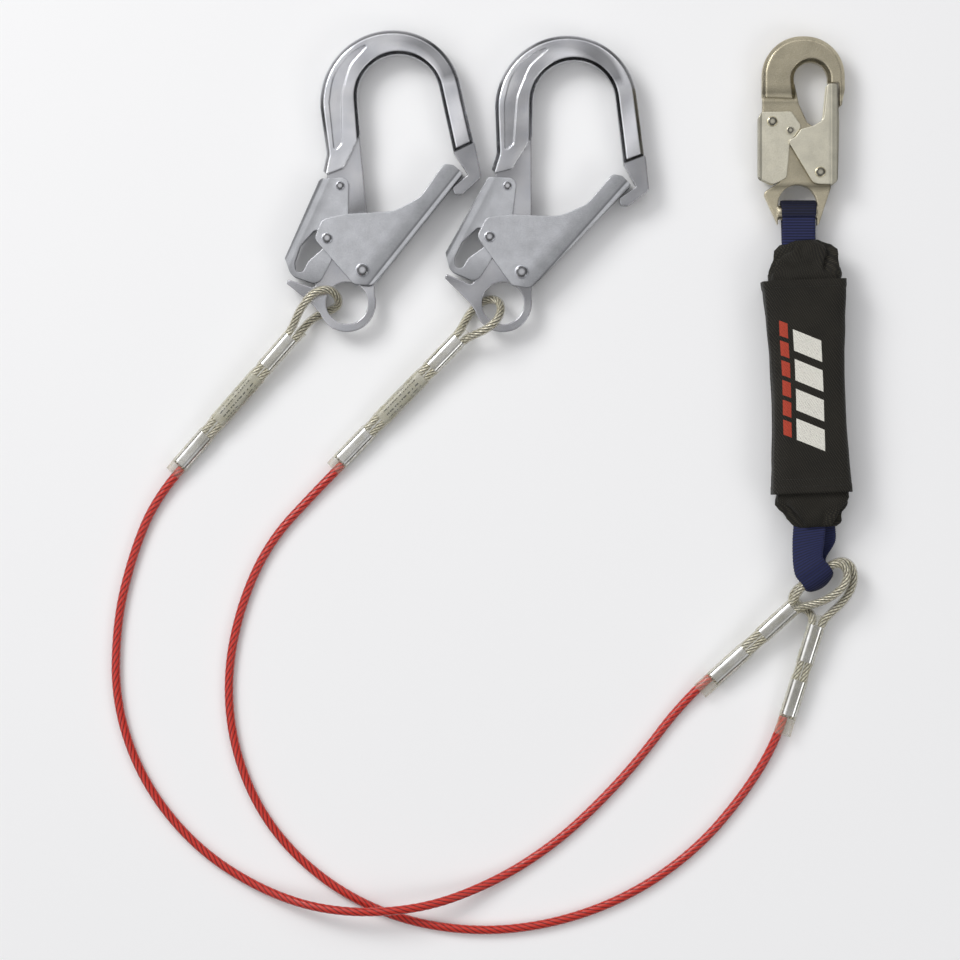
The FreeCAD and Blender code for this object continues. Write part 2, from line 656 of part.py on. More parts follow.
def rope_end(name):
    """Eye, protective tube, ferrules and clear sleeve at one end of a leg."""
    start, far, live_side, through, ferrules, label, sleeve_length, rope_to = ENDS[name]
    axis = (far - start).normalize()
    side = Vector(0, 0, 1).cross(axis).normalize()
    up = axis.cross(side)
    mount = Placement(start, Rotation(side, up, axis, "ZXY"))
    half = side * (live_side * size("strand_gap") / 2)
    dead = start - half
    live = start + half

    corners = [dead + axis * rope_to, dead]
    corners += [Vector(*point) for point in through]
    corners += [live, live + axis * rope_to]
    edges = route_edges(corners, name + " eye")
    solid_part(name + "_eye_rope", tube(Part.Wire(edges), size("rope_r")))
    covered = Part.Wire(edges[5:2 * len(through)])
    cover = tube(covered, size("eye_tube_outer_r")).cut(tube(covered, size("eye_tube_inner_r")))
    solid_part(name + "_eye_tube", cover)

    gap = size("strand_gap") / 2
    bores = [(-gap, 0, size("rope_r") + 0.02), (gap, 0, size("rope_r") + 0.02)]
    body = new_body(name + "_ferrules", mount)
    outline = oval(size("ferrule_width"), size("ferrule_height"))
    for index, (low, high) in enumerate(ferrules, start=1):
        middle = (low + high) / 2
        pad(body, "ferrule%d" % index, str(high - low), outlines=[outline], circles=bores, lift=middle)
    if label:
        low, high = label
        cover = new_body(name + "_label", mount)
        rings = [oval(12.4, 8.6), oval(11.6, 7.8)]
        pad(cover, "wrap", str(high - low), outlines=rings, lift=(low + high) / 2)
    sleeve = new_body(name + "_clear_sleeve", mount)
    rings = [oval(13.8, 10.0), oval(12.8, 9.0)]
    pad(sleeve, "tube", str(sleeve_length), outlines=rings, lift=sleeve_length / 2)
    return live + axis * rope_to


for side, floor_points in ROUTES.items():
    hook_end = rope_end(side + "_hook")
    pack_end = rope_end(side + "_pack")
    corners = [hook_end] + [Vector(*point) for point in floor_points] + [pack_end]
    print(side, "cable ends", [round(v, 2) for v in hook_end], [round(v, 2) for v in pack_end])
    wire = Part.Wire(route_edges(corners, side + " cable"))
    bore = tube(wire, size("jacket_inner_r"))
    solid_part(side + "_cable_jacket", tube(wire, size("jacket_outer_r")).cut(bore))
    solid_part(side + "_cable_core", tube(wire, size("rope_r")))

# ---------------------------------------------------------------- export

doc.recompute()
bad = []
for item in PARTS:
    states = [entry for entry in item.State if entry in ("Invalid", "Error")]
    shape = item.Shape
    if states or shape.isNull() or not shape.isValid() or not shape.Solids:
        bad.append((item.Label, item.State))
    print("%-24s solids %d  volume %9.1f  %s" % (
        item.Label, len(shape.Solids), shape.Volume,
        " ".join("%.1f" % value for value in (
            shape.BoundBox.XMin, shape.BoundBox.XMax, shape.BoundBox.YMin,
            shape.BoundBox.YMax, shape.BoundBox.ZMin, shape.BoundBox.ZMax))))
for item in doc.Objects:
    if "Invalid" in item.State or "Error" in item.State:
        bad.append((item.Name, item.State))
if bad:
    raise RuntimeError("parts failed: %s" % bad)
for item in PARTS:
    item.Shape.exportStep("parts/%s.step" % item.Label)
print("parts written:", len(PARTS))
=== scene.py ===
"""Looks of the twin-leg shock absorbing lanyard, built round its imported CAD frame."""

import math

import bpy
from mathutils import Matrix, Vector, noise


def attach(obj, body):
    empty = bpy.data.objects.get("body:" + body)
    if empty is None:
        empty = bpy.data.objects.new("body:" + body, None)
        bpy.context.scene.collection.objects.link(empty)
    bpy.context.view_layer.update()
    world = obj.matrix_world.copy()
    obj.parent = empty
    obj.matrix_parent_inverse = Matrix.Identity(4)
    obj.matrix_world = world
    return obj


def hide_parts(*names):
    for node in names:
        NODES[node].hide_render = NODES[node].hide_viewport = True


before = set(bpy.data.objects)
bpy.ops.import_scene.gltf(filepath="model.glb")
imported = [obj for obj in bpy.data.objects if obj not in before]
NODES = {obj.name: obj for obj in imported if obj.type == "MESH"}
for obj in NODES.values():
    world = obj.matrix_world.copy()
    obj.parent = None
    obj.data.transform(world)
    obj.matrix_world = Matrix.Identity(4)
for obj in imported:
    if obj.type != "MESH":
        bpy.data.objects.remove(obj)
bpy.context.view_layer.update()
scene = bpy.context.scene
MM = 0.001


def mm(*values):
    return Vector(values) * MM


# ------------------------------------------------------------------ camera, light, floor

VIEW_CENTRE = mm(-68.2, -126.1, 12.5)
VIEW_SIZE = 0.7315
CAMERA_HEIGHT = 3.0

camera_data = bpy.data.cameras.new("camera")
camera_data.sensor_width = 36
camera_data.lens = 36 * CAMERA_HEIGHT / VIEW_SIZE
camera = bpy.data.objects.new("camera", camera_data)
camera.location = VIEW_CENTRE + Vector((0, 0, CAMERA_HEIGHT))
scene.collection.objects.link(camera)
scene.camera = camera


def area_light(name, place, target, size, power):
    data = bpy.data.lights.new(name, "AREA")
    data.shape = "RECTANGLE"
    data.size, data.size_y = size
    data.energy = power
    light = bpy.data.objects.new(name, data)
    light.location = place
    light.rotation_mode = "QUATERNION"
    light.rotation_quaternion = (Vector(target) - Vector(place)).to_track_quat("-Z", "Y")
    scene.collection.objects.link(light)


# ------------------------------------------------------------------ node helpers

class Shader:
    """A Principled material with short calls for its nodes."""

    def __init__(self, name, **constants):
        self.material = bpy.data.materials.new(name)
        self.material.use_nodes = True
        self.tree = self.material.node_tree
        self.bsdf = self.tree.nodes["Principled BSDF"]
        for key, value in constants.items():
            self.bsdf.inputs[key.replace("_", " ")].default_value = value
        self.coord = self.tree.nodes.new("ShaderNodeTexCoord")

    def put(self, source, socket):
        self.tree.links.new(source, self.bsdf.inputs[socket])

    def node(self, kind, inputs=None, **props):
        node = self.tree.nodes.new(kind)
        for key, value in props.items():
            setattr(node, key, value)
        for key, value in (inputs or {}).items():
            if isinstance(value, bpy.types.NodeSocket):
                self.tree.links.new(value, node.inputs[key])
            else:
                node.inputs[key].default_value = value
        return node

    def math(self, operation, *values):
        return self.node("ShaderNodeMath", dict(enumerate(values)), operation=operation).outputs[0]

    def axes(self, source):
        """The three parts of a vector socket."""
        return self.node("ShaderNodeSeparateXYZ", {0: source}).outputs

    def length(self, x, y):
        """Distance of (x, y) from the origin."""
        squares = self.math("ADD", self.math("MULTIPLY", x, x), self.math("MULTIPLY", y, y))
        return self.math("SQRT", squares)

    def noise(self, scale, detail=3.0, source=None, stretch=None):
        vector = source or self.coord.outputs["Object"]
        if stretch:
            vector = self.node("ShaderNodeMapping", {"Vector": vector, "Scale": stretch}).outputs[0]
        inputs = {"Vector": vector, "Scale": scale, "Detail": detail}
        return self.node("ShaderNodeTexNoise", inputs).outputs["Fac"]

    def stripes(self, value, period):
        """A sine from 0 to 1 that repeats each period of value."""
        wave = self.math("SINE", self.math("MULTIPLY", value, 2 * math.pi / period))
        return self.math("MULTIPLY_ADD", wave, 0.5, 0.5)

    def ramp(self, value, *stops):
        """Colours or greys by position: (position, colour)."""
        node = self.node("ShaderNodeValToRGB", {0: value})
        marks = node.color_ramp.elements
        while len(marks) < len(stops):
            marks.new(0.5)
        for mark, (position, colour) in zip(marks, stops):
            mark.position = position
            if isinstance(colour, (int, float)):
                colour = (colour, colour, colour)
            mark.color = (*colour, 1)
        return node.outputs[0]

    def mix(self, factor, first, second):
        node = self.node("ShaderNodeMix", data_type="RGBA")
        for slot, value in ((0, factor), (6, first), (7, second)):
            if isinstance(value, bpy.types.NodeSocket):
                self.tree.links.new(value, node.inputs[slot])
            elif slot == 0:
                node.inputs[slot].default_value = value
            else:
                node.inputs[slot].default_value = (*value, 1)
        return node.outputs[2]

    def shaded(self, colour, *greys):
        """Colour darkened by each grey in turn."""
        for grey in greys:
            tint = self.node("ShaderNodeMix", data_type="RGBA", blend_type="MULTIPLY")
            tint.inputs[0].default_value = 1.0
            self.tree.links.new(colour, tint.inputs[6])
            self.tree.links.new(grey, tint.inputs[7])
            colour = tint.outputs[2]
        return colour

    def band(self, a, b, c, *stops):
        """Grey by a*x + b*y + c, where x and y run from 0 to 1 across the piece's own box."""
        box = self.axes(self.coord.outputs["Generated"])
        place = self.math("MULTIPLY_ADD", box[0], a, self.math("MULTIPLY_ADD", box[1], b, c))
        return self.ramp(place, *stops)

    def bump(self, height, distance, normal=None):
        inputs = {"Height": height, "Distance": distance, "Strength": 1.0}
        if normal:
            inputs["Normal"] = normal
        out = self.node("ShaderNodeBump", inputs).outputs[0]
        self.put(out, "Normal")
        return out


# ------------------------------------------------------------------ materials

WAVE_SCALE = 17.0
PATCH_SCALE = 60.0
BLOTCH_SCALE = 90.0
EDGE_SAMPLES = 6


def metal(name, light, dark, rough, grain, grain_depth, wave_depth=0.0, edge=0.0005, bands=None):
    """Metal whose tint and gloss drift in soft patches, under a fine grain."""
    m = Shader(name, Metallic=1.0)
    drift = m.noise(PATCH_SCALE, 4)
    base = m.mix(m.ramp(drift, (0.35, 0.0), (0.68, 1.0)), light, dark)
    # The bands paint shade and highlight into the colour.
    m.put(m.shaded(base, *(bands(m) if bands else [])), "Base Color")
    speckle = m.noise(grain, 2)
    low, high = rough
    m.put(m.ramp(speckle, (0.3, low), (0.7, high)), "Roughness")
    normal = m.node("ShaderNodeBevel", {"Radius": edge}, samples=EDGE_SAMPLES).outputs[0]
    if wave_depth:
        normal = m.bump(m.noise(WAVE_SCALE, 1), wave_depth, normal)
    m.bump(speckle, grain_depth, normal)
    return m.material


def speckled(name, light, dark, rough, grain, grain_depth, edge, bands):
    """Stamped sheet metal with a granular plated surface."""
    m = Shader(name, Metallic=1.0)
    speckle = m.noise(grain, 4)
    base = m.mix(m.ramp(speckle, (0.38, 0.0), (0.62, 1.0)), light, dark)
    blotch = m.ramp(m.noise(BLOTCH_SCALE, 5), (0.3, 0.82), (0.7, 1.0))
    # The blotches vary the tone at random; the bands paint shade and highlight into the colour.
    m.put(m.shaded(base, blotch, *bands(m)), "Base Color")
    low, high = rough
    m.put(m.ramp(speckle, (0.3, low), (0.7, high)), "Roughness")
    normal = m.node("ShaderNodeBevel", {"Radius": edge}, samples=EDGE_SAMPLES).outputs[0]
    m.bump(speckle, grain_depth, normal)
    return m.material


# Centre of the large hook's bow and the height of its box over its width, in shares of that box.
BOW_X, BOW_Y = 0.563, 0.795
BOW_ASPECT = 1.553


def bow_bands(m):
    """Painted shade on the forged hook, by depth from its middle plane: darker web, groove floor,
    painted shade on the groove walls, bright bow. The nose is darker, and a painted shade sweep crosses the
    bow's far shoulder."""
    box = m.axes(m.coord.outputs["Generated"])
    depth = m.math("MULTIPLY", m.math("ABSOLUTE", m.math("SUBTRACT", box[2], 0.5)), 2.0)
    # Painted shade by depth, darkest on the walls of the groove.
    flats = m.ramp(
        depth, (0.38, 0.72), (0.54, 0.66), (0.60, 0.92), (0.715, 0.92), (0.73, 0.24), (0.768, 0.24),
        (0.780, 0.90), (0.796, 0.90), (0.812, 0.24), (0.92, 0.34), (0.985, 1.0))
    raised = m.ramp(depth, (0.80, 0.0), (0.95, 1.0))
    nose = m.math("MAXIMUM", m.ramp(box[0], (0.72, 1.0), (0.82, 0.66)), raised)
    x = m.math("SUBTRACT", box[0], BOW_X)
    y = m.math("MULTIPLY", m.math("SUBTRACT", box[1], BOW_Y), BOW_ASPECT)
    turn = m.math("DIVIDE", m.math("ARCTAN2", y, x), math.pi)
    reach = m.length(x, y)
    # Painted shade sweeping over the bow's far shoulder.
    sweep = m.ramp(turn, (0.05, 0.0), (0.10, 1.0), (0.34, 0.8), (0.66, 0.0))
    inside = m.ramp(reach, (0.225, 0.0), (0.262, 1.0), (0.31, 1.0), (0.33, 0.0))
    shoulder_shade = m.math("MULTIPLY", sweep, inside)
    return [flats, nose, m.ramp(shoulder_shade, (0.0, 1.0), (1.0, 0.42))]


def gate_bands(m):
    """Painted shade and highlight for the large gate's folded flange: a pale painted highlight strip between
    two painted shade lines along its lower edge.
    """
    return [m.band(-0.836, 0.549, 0.334, (0.0, 0.5), (0.012, 1.0), (0.028, 1.0), (0.036, 0.30),
                   (0.052, 0.60), (0.10, 0.70), (0.17, 1.0))]


def lever_bands(m):
    """Painted shade and highlight for the large lever's folded edge, darker again at its foot."""
    return [m.band(0.794, -0.608, 0.155, (0.0, 0.32), (0.022, 0.45), (0.04, 0.95), (0.09, 1.0),
                   (0.12, 0.76), (0.22, 1.0)),
            m.band(0.0, 1.0, 0.0, (0.0, 0.55), (0.26, 1.0))]


def snap_gate_bands(m):
    """Painted shade and highlight lines for the folded flange down the outer side of the snap hook's gate.
    """
    return [m.band(1.0, 0.0, 0.0, (0.78, 1.0), (0.825, 0.78), (0.85, 1.0), (0.872, 0.60),
                   (0.94, 0.66), (0.968, 0.34), (1.0, 0.8))]


def snap_lever_bands(m):
    """Painted shade for the folded back of the snap hook's lever."""
    return [m.band(1.0, 0.0, 0.0, (0.0, 0.62), (0.052, 0.56), (0.064, 0.28), (0.085, 1.0))]


def snap_body_bands(m):
    """Pale horns, a painted shade line for the collar above them, and painted shade and highlight for the
    ridge where the bow thickens.
    """
    return [m.band(0.0, 1.0, 0.0, (0.0, 1.0), (0.175, 1.0), (0.207, 0.42), (0.232, 0.95),
                   (0.30, 0.82), (0.63, 0.80), (0.652, 0.66), (0.662, 1.0), (0.678, 0.95),
                   (0.702, 0.50), (0.745, 0.80))]


def rivet_bands(m):
    """Rivet head painted with light and shade: bright dimple, painted shade ring, bright rim."""
    box = m.axes(m.coord.outputs["Generated"])
    x = m.math("SUBTRACT", box[0], 0.5)
    y = m.math("SUBTRACT", box[1], 0.5)
    reach = m.length(x, y)
    return [m.ramp(reach, (0.12, 1.0), (0.20, 0.75), (0.29, 0.16), (0.36, 0.26), (0.42, 1.0))]


def webbing_material(name, shade):
    """Navy polyester: yarns in the ribs, painted shade between them, a little fuzz."""
    m = Shader(name, Roughness=0.66, Sheen_Weight=0.08, Sheen_Roughness=0.4)
    dark, light, thread = [tuple(part * shade for part in tint) for tint in (
        (0.0035, 0.005, 0.026), (0.014, 0.020, 0.098), (0.030, 0.042, 0.140))]
    m.bsdf.inputs["Specular IOR Level"].default_value = 0.35
    uv = m.axes(m.coord.outputs["UV"])
    yarns = m.stripes(uv[1], 0.00075)
    rib = m.stripes(uv[0], RIB_PITCH)
    fuzz = m.noise(2500.0, 2)
    # Painted shade in the valleys between the ribs.
    rib_valley_shade = m.ramp(rib, (0.28, 0.0), (0.70, 1.0))
    yarn = m.mix(m.math("MULTIPLY", m.math("MULTIPLY_ADD", yarns, 0.5, 0.5), rib_valley_shade), dark, light)
    m.put(m.mix(m.ramp(fuzz, (0.35, 0.0), (0.75, 0.18)), yarn, thread), "Base Color")
    height = m.math("ADD", m.math("MULTIPLY", yarns, 0.6), m.math("MULTIPLY", fuzz, 0.4))
    m.bump(height, 0.00018)
    return m.material


# Plain print on the wrap, in millimetres: its length, the marks in that length, and its height.
PRINT_LENGTH = 90.0
WHITE_BARS = 4
RED_DASHES = 6
PRINT_ABOVE = 17.0


def nylon_material(name, printed):
    """Charcoal ballistic nylon: a basket of slanting yarns. The wrap also carries a plain print."""
    m = Shader(name, Roughness=0.78, Sheen_Weight=0.04, Sheen_Roughness=0.5)
    m.bsdf.inputs["Specular IOR Level"].default_value = 0.3
    place = m.axes(m.coord.outputs["UV"])
    across, along = place[0], place[1]
    rising = m.math("ADD", across, m.math("MULTIPLY", along, 0.55))
    falling = m.math("SUBTRACT", across, m.math("MULTIPLY", along, 0.55))
    warp = m.stripes(rising, 0.00190)
    weft = m.stripes(falling, 0.00125)
    weave = m.math("MULTIPLY", warp, weft)
    fuzz = m.noise(1800.0, 3)
    worn = m.noise(38.0, 4)
    pale, deep = (0.036, 0.032, 0.022), (0.0050, 0.0044, 0.0032)
    cloth = m.mix(m.ramp(weave, (0.05, 0.0), (0.7, 1.0)), deep, pale)
    cloth = m.mix(m.ramp(worn, (0.35, 0.0), (0.8, 0.25)), cloth, (0.042, 0.037, 0.026))
    m.put(cloth, "Base Color")
    height = m.math("ADD", m.math("MULTIPLY", weave, 0.8), m.math("MULTIPLY", fuzz, 0.3))
    m.bump(height, 0.00040)
    if not printed:
        return m.material

    def between(value, low, high):
        above = m.math("GREATER_THAN", value, low * MM)
        below = m.math("LESS_THAN", value, high * MM)
        return m.math("MULTIPLY", above, below)

    # Four white slanting bars and a broken red line beside them, each one whole.
    slant = m.math("ADD", along, m.math("MULTIPLY", across, 0.45))
    from_end = m.math("ADD", slant, PRINT_LENGTH / 2 * MM)
    phase = m.math("FRACT", m.math("DIVIDE", from_end, PRINT_LENGTH / WHITE_BARS * MM))
    white = m.math("MULTIPLY", m.math("LESS_THAN", phase, 0.72), between(across, -11.0, 10.0))
    white = m.math("MULTIPLY", white, between(from_end, 0.0, PRINT_LENGTH))
    phase = m.math("FRACT", m.math("DIVIDE", from_end, PRINT_LENGTH / RED_DASHES * MM))
    red = m.math("MULTIPLY", m.math("LESS_THAN", phase, 0.76), between(across, -20.5, -14.8))
    red = m.math("MULTIPLY", red, between(from_end, 0.0, PRINT_LENGTH))
    worn_ink = m.ramp(m.noise(1400.0, 3), (0.25, 0.72), (0.5, 1.0))
    # The print is on the upper face alone.
    upper = m.math("GREATER_THAN", m.axes(m.coord.outputs["Object"])[2], PRINT_ABOVE * MM)
    worn_ink = m.math("MULTIPLY", worn_ink, upper)
    cloth = m.mix(m.math("MULTIPLY", white, worn_ink), cloth, (0.80, 0.78, 0.70))
    cloth = m.mix(m.math("MULTIPLY", red, worn_ink), cloth, (0.46, 0.060, 0.032))
    m.put(cloth, "Base Color")
    return m.material


def jacket_material():
    """Red PVC skin drawn tight over the rope; its lay shows as painted shade in darker slanting bands along
    the grooves.
    """
    m = Shader("red_jacket", Roughness=0.26, Coat_Weight=0.12, Coat_Roughness=0.10)
    uv = m.axes(m.coord.outputs["UV"])
    around = m.math("MULTIPLY", uv[1], STRANDS)
    turn = m.math("SUBTRACT", around, m.math("DIVIDE", uv[0], CABLE_LAY / STRANDS))
    band = m.stripes(turn, 1.0)
    wires = m.stripes(m.math("ADD", turn, m.math("MULTIPLY", uv[1], 5.0)), 0.25)
    cloud = m.noise(300.0, 3)
    # The darker red is painted shade in the grooves of the lay.
    low = m.mix(m.ramp(cloud, (0.3, 0.0), (0.7, 1.0)), (0.10, 0.003, 0.003), (0.19, 0.006, 0.005))
    high = m.mix(wires, (0.50, 0.014, 0.008), (0.68, 0.042, 0.020))
    m.put(m.mix(m.ramp(band, (0.0, 0.0), (0.42, 1.0)), low, high), "Base Color")
    m.bump(m.math("ADD", m.math("MULTIPLY", wires, 0.3), band), 0.00008)
    return m.material


def strand_material():
    """Galvanised wires laid into each strand: pale on the outside, painted shade where strands meet."""
    m = Shader("rope_strand", Metallic=0.55)
    uv = m.axes(m.coord.outputs["UV"])
    turn = m.math("ADD", m.math("MULTIPLY", uv[1], 2.2), m.math("DIVIDE", uv[0], WIRE_LAY))
    wire = m.stripes(turn, 1.0)
    cloud = m.noise(220.0, 3)
    base = m.mix(m.ramp(wire, (0.1, 0.0), (0.6, 1.0)), (0.46, 0.42, 0.31), (0.80, 0.77, 0.64))
    base = m.mix(m.ramp(cloud, (0.35, 0.0), (0.7, 0.30)), base, (0.50, 0.46, 0.33))
    # Painted shade on the sides of the strands that face the core and their neighbours.
    m.put(m.mix(m.ramp(uv[1], (0.62, 0.0), (0.93, 1.0)), (0.010, 0.009, 0.006), base), "Base Color")
    m.put(m.ramp(cloud, (0.3, 0.26), (0.7, 0.42)), "Roughness")
    m.bump(wire, 0.00006)
    return m.material


def clear_material(name, tint, low, high, rough):
    """Thin clear plastic: faint face on, milky where the wall is seen edge on."""
    m = Shader(name, Roughness=rough)
    m.bsdf.inputs["Specular IOR Level"].default_value = 0.9
    cloud = m.noise(160.0, 3)
    paler = tuple(0.5 + 0.5 * part for part in tint)
    m.put(m.mix(m.ramp(cloud, (0.35, 0.0), (0.7, 1.0)), tint, paler), "Base Color")
    facing = m.node("ShaderNodeLayerWeight", {"Blend": 0.35}).outputs["Facing"]
    m.put(m.ramp(facing, (0.1, low), (0.85, high)), "Alpha")
    m.bump(cloud, 0.0004)
    return m.material


def label_material():
    """Clear printed sleeve: rows of short plain dashes, no letters."""
    m = Shader("label_print", Roughness=0.28)
    place = m.axes(m.coord.outputs["UV"])
    along, around = place[0], place[1]
    row = m.math("FRACT", m.math("MULTIPLY", around, 14.0))
    in_row = m.math("LESS_THAN", row, 0.30)
    long_noise = m.noise(1.0, 0, m.coord.outputs["UV"], (520.0, 14.0, 1.0))
    dashes = m.math("GREATER_THAN", long_noise, 0.5)
    ink = m.math("MULTIPLY", in_row, dashes)
    span = m.math("MULTIPLY", m.math("GREATER_THAN", along, 0.006), m.math("LESS_THAN", along, 0.040))
    ink = m.math("MULTIPLY", ink, span)
    cloud = m.noise(140.0, 3)
    film = m.mix(m.ramp(cloud, (0.3, 0.0), (0.7, 1.0)), (0.70, 0.68, 0.55), (0.84, 0.83, 0.74))
    m.put(m.mix(ink, film, (0.03, 0.03, 0.03)), "Base Color")
    m.put(m.math("MAXIMUM", ink, 0.35), "Alpha")
    m.bump(cloud, 0.0003)
    return m.material


def floor_material():
    m = Shader("floor", Roughness=0.8)
    cloud = m.noise(1.5, 3)
    m.put(m.mix(cloud, (0.92, 0.92, 0.92), (0.95, 0.95, 0.945)), "Base Color")
    return m.material


RIB_PITCH = 0.0021
STRANDS = 6
CABLE_LAY = 0.038
ROPE_LAY = 0.027
WIRE_LAY = 0.0034

ALUMINIUM = metal("forged_aluminium", (0.95, 0.95, 0.97), (0.84, 0.85, 0.89), (0.14, 0.24), 1500.0,
                  0.00003, 0.0055, edge=0.0014, bands=bow_bands)
STAMPED_TONES = ((0.78, 0.79, 0.81), (0.56, 0.57, 0.60), (0.32, 0.46), 2100.0, 0.00006, 0.0011)
GATE_STEEL = speckled("stamped_gate", *STAMPED_TONES, bands=gate_bands)
LEVER_STEEL = speckled("stamped_lever", *STAMPED_TONES, bands=lever_bands)
SNAP_FORGED = speckled("zinc_plated_forging", (0.88, 0.80, 0.60), (0.66, 0.59, 0.42), (0.24, 0.36),
                       2100.0, 0.00003, 0.0018, bands=snap_body_bands)
SNAP_TONES = ((0.95, 0.91, 0.76), (0.74, 0.70, 0.55), (0.32, 0.46), 2100.0, 0.00005, 0.0012)
SNAP_GATE_STEEL = speckled("zinc_plated_gate", *SNAP_TONES, bands=snap_gate_bands)
SNAP_LEVER_STEEL = speckled("zinc_plated_lever", *SNAP_TONES, bands=snap_lever_bands)
BRIGHT = metal("bright_steel", (0.72, 0.73, 0.76), (0.42, 0.43, 0.47), (0.10, 0.20), 900.0, 0.00002,
               edge=0.0011)
RIVET = metal("rivet_steel", (0.90, 0.90, 0.92), (0.66, 0.67, 0.70), (0.12, 0.22), 900.0, 0.00002,
              edge=0.0011, bands=rivet_bands)
SNAP_RIVET = metal("zinc_rivet", (0.88, 0.84, 0.70), (0.60, 0.56, 0.44), (0.12, 0.22), 900.0, 0.00002,
                   edge=0.0011, bands=rivet_bands)
FERRULE = metal("ferrule_aluminium", (0.92, 0.92, 0.92), (0.66, 0.65, 0.62), (0.12, 0.22), 700.0,
                0.00002, 0.0008)
NAVY = webbing_material("navy_webbing", 1.0)
NAVY_DARK = webbing_material("navy_wear_pad", 0.42)
NYLON = nylon_material("ballistic_nylon", False)
NYLON_PRINTED = nylon_material("ballistic_nylon_printed", True)
RED = jacket_material()
STRAND = strand_material()
CLEAR_TUBE = clear_material("clear_tube", (0.58, 0.52, 0.32), 0.05, 0.34, 0.10)
CLEAR_SLEEVE = clear_material("clear_sleeve", (0.64, 0.60, 0.40), 0.09, 0.50, 0.14)
LABEL = label_material()

# ------------------------------------------------------------------ mesh helpers

def add_piece(name, vertices, faces, material, uvs=None, smooth=True):
    """Mesh object in the shared frame. uvs holds one (u, v) for each vertex."""
    mesh = bpy.data.meshes.new(name)
    mesh.from_pydata([tuple(v) for v in vertices], [], faces)
    mesh.materials.append(material)
    if uvs:
        layer = mesh.uv_layers.new(name="UVMap")
        for loop in mesh.loops:
            layer.data[loop.index].uv = uvs[loop.vertex_index]
    mesh.polygons.foreach_set("use_smooth", [smooth] * len(mesh.polygons))
    mesh.update()
    piece = bpy.data.objects.new(name, mesh)
    scene.collection.objects.link(piece)
    return piece


def bridge(rings, closed=True, capped=True):
    """Faces between rings of equal size; vertices are the rings one after another."""
    count = len(rings[0])
    around = count if closed else count - 1
    vertices = [point for ring in rings for point in ring]
    faces = []
    for i in range(len(rings) - 1):
        for j in range(around):
            a = i * count + j
            b = i * count + (j + 1) % count
            faces.append((a, b, b + count, a + count))
    if capped and closed:
        last = (len(rings) - 1) * count
        faces.append(tuple(range(count - 1, -1, -1)))
        faces.append(tuple(range(last, last + count)))
    return vertices, faces


def walled(outside, inside):
    """Tube with a real wall: out along the outer rings and back along the inner ones."""
    rings = outside + inside[::-1]
    vertices, faces = bridge(rings, capped=False)
    sides = len(rings[0])
    last = (len(rings) - 1) * sides
    for j in range(sides):
        k = (j + 1) % sides
        faces.append((last + j, last + k, k, j))
    return vertices, faces


def append_tube(vertices, faces, rings):
    """Add the solid tube through these rings to a piece made of several."""
    points, quads = bridge(rings)
    faces += [tuple(index + len(vertices) for index in quad) for quad in quads]
    vertices += points


def line_lengths(line):
    total = 0.0
    lengths = [0.0]
    for a, b in zip(line, line[1:]):
        total += (b - a).length
        lengths.append(total)
    return lengths


def line_frames(line):
    """Tangent and two cross directions at each point, turned as little as possible."""
    frames = []
    last = len(line) - 1
    side = None
    for i, point in enumerate(line):
        tangent = (line[min(i + 1, last)] - line[max(i - 1, 0)]).normalized()
        if side is None:
            side = tangent.orthogonal().normalized()
        side = (side - tangent * side.dot(tangent)).normalized()
        frames.append((tangent, side, tangent.cross(side)))
    return frames


def nurbs_line(name, points, steps):
    """Points read from the NURBS spline that has the route's points as its control points."""
    curve = bpy.data.curves.new(name, "CURVE")
    curve.dimensions = "3D"
    spline = curve.splines.new("NURBS")
    spline.points.add(len(points) - 1)
    for control, point in zip(spline.points, points):
        control.co = (*point, 1)
    spline.order_u = 3
    spline.use_endpoint_u = True
    spline.resolution_u = steps
    holder = bpy.data.objects.new(name, curve)
    mesh = bpy.data.meshes.new_from_object(holder)
    line = [vertex.co.copy() for vertex in mesh.vertices]
    bpy.data.objects.remove(holder)
    bpy.data.meshes.remove(mesh)
    return line


def tube_rings(line, radius, sides):
    """Rings round a line; radius is a number or a function of (length along, angle)."""
    lengths = line_lengths(line)
    rings = []
    uvs = []
    for point, along, (_, side, up) in zip(line, lengths, line_frames(line)):
        ring = []
        for k in range(sides):
            angle = 2 * math.pi * k / sides
            r = radius(along, angle) if callable(radius) else radius
            ring.append(point + (side * math.cos(angle) + up * math.sin(angle)) * r)
            uvs.append((along, k / sides))
        rings.append(ring)
    return rings, uvs


def hollow_tube(name, line, outer, inner, sides, material):
    """Tube with a real wall and closed ends."""
    outside, uvs = tube_rings(line, outer, sides)
    inside, more = tube_rings(line, inner, sides)
    vertices, faces = walled(outside, inside)
    half = len(more) // sides
    back = [uv for i in range(half - 1, -1, -1) for uv in more[i * sides:(i + 1) * sides]]
    return add_piece(name, vertices, faces, material, uvs + back)

# ------------------------------------------------------------------ rope legs

ROPE_R = 2.75 * MM
STRAND_ORBIT = ROPE_R * 0.655
STRAND_R = ROPE_R * 0.335
STRAND_GAP = 5.8
STRAIGHT_RUN = 30 * MM
CABLE_R = 3.27
CABLE_LOBE = 0.11
COVER_OUTER = 3.45 * MM
COVER_INNER = 2.95 * MM
COVER_CLEARANCE = 7.4 * MM

